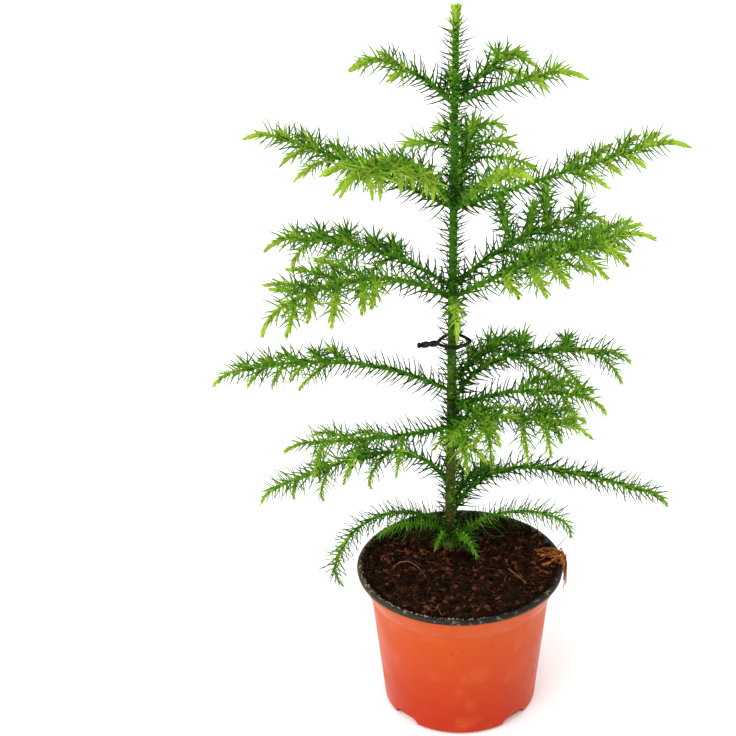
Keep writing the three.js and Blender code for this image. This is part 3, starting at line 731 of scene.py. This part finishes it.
# Bark relief: low ridges that run down from the needles' roots in two crossing spirals
def bark_radii(radius, distances, sides, relief, pitch):
    angle = np.arange(sides)[None] * math.tau / sides
    turn = distances[:, None] * math.tau / pitch
    ridges = np.cos(RIDGE_TURNS[0] * angle + turn) + np.cos(RIDGE_TURNS[1] * angle - turn / RIDGE_LAG)
    rough = chance(np.arange(sides)[None], np.arange(len(distances))[:, None], BARK_DRAW) - 0.5
    return radius[:, None] + relief * (ridges + rough) / 2


# Boughs with their twigs, and then the trunk
def make_plant(finishes):
    bough_wood = Bundle()
    twig_wood = Bundle()
    tones = {name: Bundle() for name in TONE_COLOURS}
    for number, values in enumerate(BOUGHS):
        row = dict(zip(BOUGH_FIELDS, values))
        axis = bough_axis(row)
        add_stem("bough", row, axis, NEEDLE_SEEDS["bough"] + number, bough_wood, tones)
        for k, twig in enumerate(twig_axes(row, axis)):
            seed = NEEDLE_SEEDS["twig"] + TWIG_SEEDS * number + k
            add_stem("twig", row, twig, seed, twig_wood, tones)
    make_trunk(finishes, tones)
    boughs = [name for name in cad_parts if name.startswith("bough_")]
    sprays = [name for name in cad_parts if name.startswith("spray_")]
    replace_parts(bough_wood.piece("bough_wood", finishes["twig"], "bough_bark"), *boughs)
    twig_wood.piece("twig_wood", finishes["twig"], "needles")
    for name in TONE_COLOURS:
        piece = tones[name].piece(f"needles_{name}", finishes[name], "needles")
        if name == "mid":
            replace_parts(piece, *sprays)


# The length of an axis of even steps, and the distance of each of its points.
def axis_distances(points):
    length = np.linalg.norm(np.diff(points, axis=0), axis=1).sum()
    return length, np.arange(len(points)) * length / (len(points) - 1)


# A stem is darker near its foot. Those that point to the front, where the light is, are painted lighter as
# painted light (on tiers 1 and 4 a little darker).
def stem_tone(row, points, kind):
    way = unit(points[-1] - points[0])
    tone = TIER_TONE[row["tier"]] + TIER_FRONT_PAINTED_LIGHT[row["tier"]] * max(0, -way[1])
    length = axis_distances(points)[0]
    return lambda distance: tone + INNER_TONE[kind] * np.clip(1 - distance / length / INNER_SHARE, 0, 1)


# A bough or a twig: a tapering tube with bark relief, and its needles. A bough's foot is sunk in the trunk.
def add_stem(kind, row, points, seed, wood, tones):
    is_bough = kind == "bough"
    tier = row["tier"]
    length, distances = axis_distances(points)
    radius_at = taper(*STEM_RADII[kind], length)
    radii = bark_radii(radius_at(distances), distances, STEM_SIDES, STEM_RELIEF, STEM_RELIEF_PITCH)
    if is_bough:
        root = points[0] - unit(points[1] - points[0]) * TRUNK_FOOT_RADIUS
        add_tube(wood, np.vstack([root, points]), np.vstack([radii[:1], radii]), BUD)
    else:
        add_tube(wood, points, radii, BUD)
    tilt = heading(row["azimuth"] + QUARTER_TURN, 0) * SIDE_TILT
    stem = {
        "kind": kind,
        "points": points,
        "length": length,
        "side_from": UP + tilt if is_bough else UP,
        "radius_at": radius_at,
        "tone_at": stem_tone(row, points, kind),
        "tail_tone": TIER_TAIL_TONE[tier],
        "reach": min(1, length / FULL_NEEDLES) if is_bough else 1,
        "tip_habit": tip_habit(tier, TAIL_RUN[kind]),
        "slim": TIER_SLIM[tier],
    }
    add_needles(stem, seed, tones)


def make_trunk(finishes, tones):
    height = np.linalg.norm(TRUNK_TIP - TRUNK_FOOT)
    count = int(height / TRUNK_STEP)
    distances = np.arange(count + 1) * height / count
    points = TRUNK_FOOT + (TRUNK_TIP - TRUNK_FOOT) * (distances / height)[:, None]
    radii = bark_radii(trunk_radius(points[:, 2]), distances, TRUNK_SIDES, TRUNK_RELIEF, TRUNK_RELIEF_PITCH)
    wood = Bundle()
    low = points[:1] - UP * TRUNK_SUNK
    add_tube(wood, np.vstack([low, points]), np.vstack([radii[:1], radii]), LEADER_BUD)
    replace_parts(wood.piece("trunk_wood", finishes["trunk"], "trunk_bark"), "trunk")
    stem = {
        "kind": "trunk",
        "points": points,
        "length": height,
        "side_from": RIGHT,
        "radius_at": lambda distance: trunk_radius(TRUNK_FOOT[2] + distance),
        "tone_at": lambda distance: between(TRUNK_TONE, distance / height),
        "tail_tone": TRUNK_TAIL_TONE,
        "reach": 1,
        "tip_habit": LEADER_HABIT,
        "slim": TRUNK_SLIM,
    }
    add_needles(stem, NEEDLE_SEEDS["trunk"], tones)


# Turned shapes
def spun(profile, sides):
    shape = bmesh.new()
    corners = [shape.verts.new((r * MM, 0, z * MM)) for r, z in profile]
    edges = [shape.edges.new(pair) for pair in zip(corners, corners[1:])]
    bmesh.ops.spin(
        shape, geom=corners + edges, cent=(0, 0, 0), axis=(0, 0, 1),
        angle=math.tau, steps=sides, use_merge=True,
    )
    bmesh.ops.remove_doubles(shape, verts=shape.verts, dist=MERGE_DISTANCE * MM)
    bmesh.ops.recalc_face_normals(shape, faces=shape.faces)
    return shape


def bevel_sharp(shape, offset):
    least = math.radians(SHARP_ANGLE)
    sharp = [edge for edge in shape.edges if edge.is_manifold and edge.calc_face_angle() > least]
    bmesh.ops.bevel(
        shape, geom=sharp, offset=offset * MM, offset_type="OFFSET", affect="EDGES",
        segments=BEVEL_SEGMENTS, profile=0.5, material=-1, clamp_overlap=True,
    )


def to_mesh(shape, name):
    mesh = bpy.data.meshes.new(name)
    shape.to_mesh(mesh)
    shape.free()
    return mesh


# Pot
def pot_radius(z):
    if z <= SHOULDER_Z:
        return between((POT_FOOT_RADIUS, POT_SHOULDER_RADIUS), z / SHOULDER_Z)
    return between((POT_SHOULDER_RADIUS, POT_TOP_RADIUS), (z - SHOULDER_Z) / COLLAR_HEIGHT)


def pot_profile():
    wall = np.linspace(NOTCH_HEIGHT + NOTCH_SPACE, SHOULDER_Z, WALL_RINGS)
    collar_z = SHOULDER_Z + 2 * COLLAR_STEP
    collar = [(pot_radius(collar_z) + COLLAR_STEP, collar_z), (POT_TOP_RADIUS, POT_HEIGHT)]
    return [
        (0, 0),
        (POT_FOOT_RADIUS - POT_FOOT_ROUND, 0),
        (pot_radius(POT_FOOT_ROUND), POT_FOOT_ROUND),
        *[(pot_radius(z), z) for z in wall],
        *[tuple(between(np.array(collar), share)) for share in np.linspace(0, 1, COLLAR_RINGS)],
        (POT_TOP_RADIUS - POT_WALL, POT_HEIGHT),
        (POT_SHOULDER_RADIUS - POT_WALL, SHOULDER_Z),
        (pot_radius(POT_HEEL_HEIGHT) - POT_WALL, POT_HEEL_HEIGHT),
        (POT_HEEL_RADIUS, POT_FLOOR),
        (0, POT_FLOOR),
    ]


# Blocks with arched tops that cut the notches
def notch_cutter():
    shape = bmesh.new()
    for i in range(NOTCH_COUNT):
        arch = bmesh.ops.create_circle(shape, cap_ends=True, radius=1, segments=2 * NOTCH_STEPS)["verts"]
        size = Matrix.Diagonal((NOTCH_WIDTH / 2 * MM, NOTCH_HEIGHT * MM, 1, 1))
        upright = Matrix.Rotation(math.pi / 2, 4, "X")
        place = Matrix.Translation((0, (NOTCH_DEPTH - POT_FOOT_RADIUS) * MM, 0))
        turn = Matrix.Rotation((i + 0.5) * math.tau / NOTCH_COUNT, 4, "Z")
        bmesh.ops.transform(shape, verts=arch, matrix=turn @ place @ upright @ size)
        grown = bmesh.ops.extrude_face_region(shape, geom=[arch[0].link_faces[0]])
        moved = [vertex for vertex in grown["geom"] if isinstance(vertex, bmesh.types.BMVert)]
        bmesh.ops.translate(shape, verts=moved, vec=turn @ Vector((0, -NOTCH_REACH * MM, 0)))
    bmesh.ops.recalc_face_normals(shape, faces=shape.faces)
    return to_mesh(shape, "notch_cutter")


def make_pot(finishes):
    blank = new_object("pot_blank", to_mesh(spun(pot_profile(), POT_SIDES), "pot_blank"))
    cutter = new_object("notch_cutter", notch_cutter())
    cut = blank.modifiers.new("notches", "BOOLEAN")
    cut.operation = "DIFFERENCE"
    cut.solver = "EXACT"
    cut.object = cutter
    graph = bpy.context.evaluated_depsgraph_get()
    shape = bmesh.new()
    shape.from_mesh(bpy.data.meshes.new_from_object(blank.evaluated_get(graph)))
    bpy.data.objects.remove(blank)
    bpy.data.objects.remove(cutter)
    bevel_sharp(shape, POT_BEVEL)
    mesh = to_mesh(shape, "pot_shell")
    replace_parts(finish_piece("pot_shell", mesh, finishes["pot"]), "pot")


# Liner rim, with its lip a little wavy as thin sheet is
def skirt_radius(z):
    return pot_radius(z) - POT_WALL - CLEARANCE


def rim_inner():
    return skirt_radius(RIM_TOP - RIM_THICKNESS - CLEARANCE) - RIM_SKIRT


def make_rim(finishes):
    under = RIM_TOP - RIM_THICKNESS
    skirt_z = RIM_TOP - RIM_SKIRT_DEPTH
    foot = (skirt_radius(skirt_z) - RIM_SKIRT, skirt_z)
    profile = (
        foot,
        (skirt_radius(skirt_z), skirt_z),
        (rim_inner() + RIM_SKIRT, under),
        (RIM_RADIUS - RIM_EDGE_WIDTH, under),
        (RIM_RADIUS - RIM_EDGE_WIDTH, under - RIM_EDGE_DROP),
        (RIM_RADIUS - RIM_ROUND / 2, under - RIM_EDGE_DROP),
        (RIM_RADIUS, RIM_TOP - RIM_ROUND),
        (RIM_RADIUS - RIM_ROUND, RIM_TOP),
        (rim_inner() + RIM_ROUND, RIM_TOP),
        (rim_inner(), RIM_TOP - RIM_ROUND),
        foot,
    )
    shape = spun(profile, POT_SIDES)
    bevel_sharp(shape, RIM_BEVEL)
    for vertex in shape.verts:
        if vertex.co.z > (under - RIM_THICKNESS) * MM:
            place = Vector((vertex.co.x, vertex.co.y, 0)) / MM / RIM_WAVE_SIZE
            vertex.co.z -= RIM_WAVE * MM * (1 + noise.noise(place)) / 2
    mesh = to_mesh(shape, "rim_flange")
    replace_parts(finish_piece("rim_flange", mesh, finishes["rim"]), "pot_rim")


# Soil: a lumpy bed with crumbs, coir chips and fibres on it
def soil_radius():
    return rim_inner() - SOIL_GAP


def soil_height(x, y):
    near = math.hypot(x - TRUNK_FOOT[0], y - TRUNK_FOOT[1])
    z = SOIL_EDGE_Z + (SOIL_CROWN_Z - SOIL_EDGE_Z) * math.exp(-near / SOIL_FADE) - SOIL_SLOPE * y
    dip = math.hypot(x - HOLLOW_PLACE[0], y - HOLLOW_PLACE[1]) / HOLLOW_SIZE
    z -= HOLLOW_DEPTH * math.exp(-(dip**2))
    for size, height in SOIL_LUMPS:
        z += height * noise.noise(Vector((x / size, y / size, size)))
    return z


# The soil's height without its smallest lumps.
def smooth_soil(x, y):
    probes = ((PROBE, 0), (-PROBE, 0), (0, PROBE), (0, -PROBE))
    return np.mean([soil_height(x + dx, y + dy) for dx, dy in probes])


def make_soil(finishes):
    radius = soil_radius()
    top = [(r, SOIL_EDGE_Z) for r in np.linspace(radius, 0, SOIL_RINGS)]
    shape = spun([(0, SOIL_BASE_Z), (radius - SOIL_BASE_INSET, SOIL_BASE_Z), *top], SOIL_SIDES)
    for vertex in shape.verts:
        if vertex.co.z > (SOIL_BASE_Z + SOIL_EDGE_Z) / 2 * MM:
            vertex.co.z = soil_height(vertex.co.x / MM, vertex.co.y / MM) * MM
    mesh = to_mesh(shape, "soil_bed")
    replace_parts(finish_piece("soil_bed", mesh, finishes["peat"]), "soil")


# A place on the soil, drawn evenly over its area
def soil_spot(seed, use):
    angle = math.tau * draw(seed, use)
    radius = (soil_radius() - SOIL_MARGIN) * math.sqrt(draw(seed, use, 2))
    return radius * math.cos(angle), radius * math.sin(angle)


# One rough crumb from a ball's vertices
def crumb(ball, x, y, size, seed):
    jitter = 1 + CRUMB_ROUGHNESS * (chance(np.arange(len(ball)), seed, SOIL_DRAWS["crumb_form"]) - 0.5)
    width = between(CRUMB_FLATNESS, draw(seed, "crumb_width"))
    height = between(CRUMB_FLATNESS, draw(seed, "crumb_height"))
    turn = math.tau * draw(seed, "crumb_turn")
    cos, sin = math.cos(turn), math.sin(turn)
    spin = np.array(((cos, sin, 0), (-sin, cos, 0), (0, 0, 1)))
    shape = (ball * jitter[:, None] * (1, width, height) * size / 2) @ spin
    return shape + (x, y, smooth_soil(x, y) + size * CRUMB_SINK)


# A crumb that has spilled on the rim's inner edge.
def add_to_edge(bundle, solid, seed, turn, reach, sizes):
    angle = math.radians(between(turn, draw(seed, "edge")))
    radius = soil_radius() + between(reach, draw(seed, "edge", 2))
    size = between(sizes, draw(seed, "edge", 3) ** MORE_SMALL)
    shape = crumb(solid[0], radius * math.cos(angle), radius * math.sin(angle), size, CRUMB_SEEDS + seed)
    shape[:, 2] += max(0, RIM_TOP - shape[:, 2].mean())
    bundle.add(shape[None], solid[1])


def add_crumbs(heaps):
    solid = bmesh.new()
    bmesh.ops.create_icosphere(solid, subdivisions=1, radius=1)
    ball = np.array([vertex.co for vertex in solid.verts])
    faces = (np.array([[vertex.index for vertex in face.verts] for face in solid.faces]),)
    solid.free()
    for i in range(CRUMB_COUNT):
        x, y = soil_spot(i, "crumb_spot")
        size = between(CRUMB_SIZE, draw(i, "crumb_size", 3) ** CRUMB_SIZE_POWER)
        kind = "brown" if draw(i, "crumb_kind") < BROWN_SHARE else "dark"
        heaps[f"soil_crumb_{kind}"].add(crumb(ball, x, y, size, i)[None], faces)
    for i in range(CHIP_COUNT):
        x = CHIP_PLACE[0] + CHIP_SPREAD[0] * (draw(i, "chip_x") + draw(i, "chip_x", 2) - 1)
        y = CHIP_PLACE[1] + CHIP_SPREAD[1] * (draw(i, "chip_y") + draw(i, "chip_y", 2) - 1)
        size = between(CHIP_SIZE, draw(i, "crumb_size", 5) ** MORE_SMALL)
        heaps["coir_chips"].add(crumb(ball, x, y, size, CRUMB_COUNT + i)[None], faces)
    for i in range(EDGE_COUNT):
        add_to_edge(heaps["soil_crumb_dark"], (ball, faces), i, EDGE_TURN, EDGE_REACH, EDGE_SIZE)
    for i in range(GRIT_COUNT):
        add_to_edge(heaps["edge_grit"], (ball, faces), EDGE_COUNT + i, GRIT_TURN, GRIT_REACH, GRIT_SIZE)


# A thread that thins toward its end
def add_thread(bundle, points, radius):
    radii = np.linspace(radius, radius * THREAD_TIP, len(points))[:, None]
    add_tube(bundle, points, np.repeat(radii, FIBRE_SIDES, axis=1), radius)


# One fibre: a thin bent thread that lies on the soil with its ends a little raised
def fibre_path(seed):
    x, y = soil_spot(seed, "fibre_spot")
    turn = math.tau * draw(seed, "fibre_turn")
    bend = FIBRE_BEND * (2 * draw(seed, "fibre_bend") - 1)
    step = between(FIBRE_LENGTH, draw(seed, "fibre_length") ** MORE_SMALL) / FIBRE_STEPS
    lift = between(FIBRE_LIFT, draw(seed, "fibre_lift") ** MORE_SMALL)
    most = soil_radius() - PROBE
    points = []
    for share in np.linspace(0, 1, FIBRE_STEPS + 1):
        angle = turn + bend * (share - 0.5)
        x += step * math.cos(angle)
        y += step * math.sin(angle)
        pull = min(1, most / math.hypot(x, y))
        rise = lift * (2 * share - 1) ** 2 + FIBRE_RADIUS[1]
        points.append((x * pull, y * pull, smooth_soil(x * pull, y * pull) + rise))
    return np.array(points)


# One strand of the ragged coir tuft that crosses the rim at the right and hangs down outside it
def tuft_path(i):
    turns = between(TUFT_FROM_TURN, draw(i, "tuft_from")), between(TUFT_TO_TURN, draw(i, "tuft_to"))
    out = RIM_RADIUS + between(TUFT_SPACE, draw(i, "tuft_space"))
    high = RIM_TOP + between(TUFT_LIFT, draw(i, "tuft_lift"))
    drop = between(TUFT_DROP, draw(i, "tuft_drop"))
    share = np.linspace(0, 1, 2 * FIBRE_STEPS)
    crossed = np.minimum(1, share / TUFT_CROSSED)
    fallen = np.maximum(0, share - TUFT_CROSSED) / (1 - TUFT_CROSSED)
    start = between(TUFT_FROM_RADIUS, draw(i, "tuft_start"))
    radius = between((start, out), crossed)
    z = between((SOIL_EDGE_Z, high), np.sin(crossed * math.pi / 2)) - drop * fallen**TUFT_FALL
    angle = np.radians(between(turns, share)) + TUFT_WAVE * np.sin(TUFT_WAVES * share + i)
    return np.stack([radius * np.cos(angle), radius * np.sin(angle), z], axis=1)


def add_fibres(heaps):
    for i in range(FIBRE_COUNT):
        radius = between(FIBRE_RADIUS, draw(i, "fibre_radius") ** MORE_SMALL)
        kind = "tan" if draw(i, "fibre_kind") < TAN_SHARE else "red"
        add_thread(heaps[f"coir_{kind}"], fibre_path(i), radius)
    stray = between(np.array((STRAY_FROM, STRAY_TO)), np.linspace(0, 1, FIBRE_STEPS)[:, None])
    stray[:, 2] -= STRAY_SAG * np.sin(np.linspace(0, math.pi, FIBRE_STEPS))
    add_thread(heaps["coir_tan"], stray, STRAY_RADIUS)
    for i in range(TUFT_COUNT):
        radius = between(TUFT_RADIUS, draw(i, "tuft_radius") ** MORE_SMALL)
        add_thread(heaps["coir_tuft"], tuft_path(i), radius)
    share = np.linspace(0, 1, 2 * FIBRE_STEPS)
    flat = between(np.array((ARCH_FROM, ARCH_TO)), share[:, None])
    height = SOIL_EDGE_Z + ARCH_HEIGHT * np.sin(math.pi * share) ** ARCH_POWER
    add_thread(heaps["root_pale"], np.column_stack([flat, height]), ARCH_RADIUS)
    stick = between(np.array((STICK_FROM, STICK_TO)), np.linspace(0, 1, FIBRE_STEPS)[:, None])
    lift = [smooth_soil(x, y) + STICK_LIFT for x, y in stick]
    add_thread(heaps["coir_tan"], np.column_stack([stick, lift]), STICK_RADIUS)


def make_litter(finishes):
    heaps = {name: Bundle() for name in LITTER_FINISHES}
    add_crumbs(heaps)
    add_fibres(heaps)
    for name, heap in heaps.items():
        heap.piece(name, finishes[name], "peat")


# Tie: a strand behind the trunk, a strand in front of it, and two twisted wires for the tail
def add_wire(wire, path, radius):
    add_tube(wire, path, np.full((len(path), TIE_SIDES), radius), radius * WIRE_END)


def tie_strand(start, middle, end):
    share = np.linspace(0, 1, TIE_STEPS)[:, None]
    bend = 2 * middle - (start + end) / 2
    return start * (1 - share) ** 2 + bend * 2 * share * (1 - share) + end * share**2


def make_tie(finishes):
    centre = trunk_point(TIE_Z)
    reach = trunk_radius(TIE_Z) + TIE_SLACK + TIE_WIRE
    left, right, end = (centre + np.array(place) for place in (TIE_LEFT, TIE_RIGHT, TIE_TAIL))
    back = centre + np.array((0, reach, TIE_BACK_LIFT))
    front = centre + np.array((TIE_FRONT_SIDE, -reach - TIE_FRONT_GAP, -TIE_FRONT_DROP))
    wire = Bundle()
    add_wire(wire, tie_strand(left, back, right), TIE_WIRE)
    add_wire(wire, tie_strand(left, front, right), TIE_WIRE)
    share = np.linspace(-TIE_TAIL_LAP, 1, TIE_STEPS)[:, None]
    turn = share * math.tau * TWIST_TURNS
    around = TWIST_OFFSET * np.hstack([0 * share, np.cos(turn), np.sin(turn)])
    for side in (-1, 1):
        add_wire(wire, left + (end - left) * share + around * side, TWIST_WIRE)
    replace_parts(wire.piece("tie_wire", finishes["tie"], "tie_wire"), "stem_tie")


# Shader nodes
def socket(sockets, name):
    return next(item for item in sockets if item.name == name and item.enabled)


# Plain numbers go in as they are, and colours with their alpha.
def set_inputs(node, values):
    for name, value in values.items():
        node.inputs[name].default_value = (*value, 1) if isinstance(value, tuple) else value


# Links, each from an output of one node to an input of another.
def join(tree, *links):
    for source, output, target, name in links:
        tree.links.new(socket(source.outputs, output), socket(target.inputs, name))


def object_noise(group, source):
    place = group.nodes.new("ShaderNodeTexCoord")
    texture = group.nodes.new("ShaderNodeTexNoise")
    set_inputs(texture, {"Detail": NOISE_DETAIL})
    join(group, (place, "Object", texture, "Vector"), (source, "Scale", texture, "Scale"))
    return texture


# Node groups that several finishes share
def new_group(name, inputs, outputs):
    group = bpy.data.node_groups.new(name, "ShaderNodeTree")
    for way, kinds in (("INPUT", inputs), ("OUTPUT", outputs)):
        for title, kind in kinds.items():
            group.interface.new_socket(title, in_out=way, socket_type=f"NodeSocket{kind}")
    return group, group.nodes.new("NodeGroupInput"), group.nodes.new("NodeGroupOutput")


# Patches of a dark and a light colour.
def mottle_group():
    inputs = {"Dark": "Color", "Light": "Color", "Scale": "Float", "From": "Float", "To": "Float"}
    group, source, result = new_group("mottle", inputs, {"Colour": "Color", "Mask": "Float"})
    texture = object_noise(group, source)
    spread = group.nodes.new("ShaderNodeMapRange")
    spread.interpolation_type = "SMOOTHSTEP"
    mix = group.nodes.new("ShaderNodeMix")
    mix.data_type = "RGBA"
    join(
        group,
        (texture, "Fac", spread, "Value"),
        (source, "From", spread, "From Min"),
        (source, "To", spread, "From Max"),
        (spread, "Result", mix, "Factor"),
        (source, "Dark", mix, "A"),
        (source, "Light", mix, "B"),
        (mix, "Result", result, "Colour"),
        (spread, "Result", result, "Mask"),
    )
    return group


# Fine bumps.
def relief_group():
    inputs = {"Scale": "Float", "Strength": "Float", "Distance": "Float"}
    group, source, result = new_group("relief", inputs, {"Normal": "Vector"})
    texture = object_noise(group, source)
    bump = group.nodes.new("ShaderNodeBump")
    join(
        group,
        (texture, "Fac", bump, "Height"),
        (source, "Strength", bump, "Strength"),
        (source, "Distance", bump, "Distance"),
        (bump, "Normal", result, "Normal"),
    )
    return group


# A share from 0 to 1 between two places along one of the object's axes.
def slope_group():
    inputs = {"Start": "Float", "End": "Float"}
    group, source, result = new_group("slope", inputs, {"Across": "Float", "Up": "Float"})
    place = group.nodes.new("ShaderNodeTexCoord")
    split = group.nodes.new("ShaderNodeSeparateXYZ")
    join(group, (place, "Object", split, "Vector"))
    for axis, output in (("X", "Across"), ("Z", "Up")):
        spread = group.nodes.new("ShaderNodeMapRange")
        spread.interpolation_type = "SMOOTHSTEP"
        join(
            group,
            (split, axis, spread, "Value"),
            (source, "Start", spread, "From Min"),
            (source, "End", spread, "From Max"),
            (spread, "Result", result, output),
        )
    return group


# Finishes
class Finish:
    def __init__(self, groups, name, surface):
        self.groups = groups
        self.material = bpy.data.materials.new(name)
        self.material.use_nodes = True
        self.tree = self.material.node_tree
        self.shader = self.tree.nodes["Principled BSDF"]
        set_inputs(self.shader, surface)

    def feed(self, output, name):
        self.tree.links.new(output, self.shader.inputs[name])

    def place(self, group, **values):
        node = self.tree.nodes.new("ShaderNodeGroup")
        node.node_tree = self.groups[group]
        set_inputs(node, values)
        return node.outputs

    # A number that goes from low to high in patches.
    def patches(self, values, low, high):
        node = self.tree.nodes.new("ShaderNodeMapRange")
        set_inputs(node, {"To Min": low, "To Max": high})
        self.tree.links.new(self.place("mottle", **values)["Mask"], node.inputs["Value"])
        return node.outputs["Result"]

    def mix(self, factor, low, high):
        node = self.tree.nodes.new("ShaderNodeMix")
        node.data_type = "RGBA"
        for name, value in (("Factor", factor), ("A", low), ("B", high)):
            target = socket(node.inputs, name)
            if isinstance(value, tuple):
                target.default_value = (*value, 1)
            else:
                self.tree.links.new(value, target)
        return socket(node.outputs, "Result")


def layered_finish(groups, look):
    finish = Finish(groups, look["name"], look["surface"])
    way, start, end = look["slope"]
    share = finish.place("slope", Start=start * MM, End=end * MM)[way]
    colour = finish.mix(share, *look["ground"])
    for patches, most, cover in look["patches"]:
        colour = finish.mix(finish.patches(patches, 0, most), colour, cover)
    finish.feed(colour, "Base Color")
    if "roughness" in look:
        finish.feed(finish.patches(*look["roughness"]), "Roughness")
    finish.feed(finish.place("relief", **look["grain"])["Normal"], "Normal")
    return finish.material


# A finish of two colours in patches, with grain
def rough_finish(groups, name, dark, light, scale, strength):
    finish = Finish(groups, name, ROUGH_SURFACE)
    patches = finish.place("mottle", Dark=dark, Light=light, Scale=scale, **ROUGH_PATCHES)
    finish.feed(patches["Colour"], "Base Color")
    finer = ROUGH_GRAIN_FINER * scale
    grain = finish.place("relief", Scale=finer, Strength=strength, Distance=ROUGH_GRAIN_DEPTH)
    finish.feed(grain["Normal"], "Normal")
    return finish.material


def needle_finish(groups, name, colour):
    finish = Finish(groups, name, NEEDLE_SURFACE)
    dark, light = (tuple(part * share for part in colour) for share in TONE_SPREAD)
    patches = finish.place("mottle", Dark=dark, Light=light, **NEEDLE_PATCHES)
    finish.feed(patches["Colour"], "Base Color")
    return finish.material


def make_finishes():
    groups = {"mottle": mottle_group(), "relief": relief_group(), "slope": slope_group()}
    finishes = {key: layered_finish(groups, look) for key, look in LAYERED_FINISHES.items()}
    for key, values in {**ROUGH_FINISHES, **LITTER_FINISHES}.items():
        finishes[key] = rough_finish(groups, *values)
    for name, colour in TONE_COLOURS.items():
        finishes[name] = needle_finish(groups, f"needle_{name}", colour)
    return finishes


# Floor, light and camera
def make_stage(finishes):
    shape = bmesh.new()
    bmesh.ops.create_grid(shape, x_segments=1, y_segments=1, size=FLOOR_HALF * MM)
    mesh = to_mesh(shape, "floor")
    mesh.materials.append(finishes["floor"])
    floor = new_object("floor", mesh)
    world = bpy.data.worlds.new("studio")
    world.use_nodes = True
    background = world.node_tree.nodes["Background"]
    set_inputs(background, {"Color": STUDIO_WHITE, "Strength": WORLD_STRENGTH})
    bpy.context.scene.world = world
    bpy.context.scene.view_settings.view_transform = "Standard"
    lamp = bpy.data.lights.new("soft_sun", "SUN")
    lamp.energy = SUN_STRENGTH
    lamp.angle = math.radians(SUN_ANGLE)
    light = new_object("soft_sun", lamp)
    light.location = Vector(SUN_PLACE) * MM
    light.rotation_euler = (-light.location).to_track_quat("-Z", "Y").to_euler()


def make_camera():
    lens = bpy.data.cameras.new("camera")
    lens.sensor_width = SENSOR_WIDTH
    lens.lens = SENSOR_WIDTH * FOCAL_PIXELS / PICTURE_SIDE
    lens.shift_x = (PICTURE_SIDE / 2 - CENTRE_PIXEL_X) / PICTURE_SIDE
    lens.clip_start = NEAR_CLIP * MM
    camera = new_object("camera", lens)
    camera.location = Vector(CAMERA_PLACE) * MM
    camera.rotation_euler = (math.radians(QUARTER_TURN - CAMERA_PITCH), 0, 0)
    bpy.context.scene.camera = camera


finishes = make_finishes()
make_pot(finishes)
make_rim(finishes)
make_soil(finishes)
make_litter(finishes)
make_plant(finishes)
make_tie(finishes)
make_stage(finishes)
make_camera()
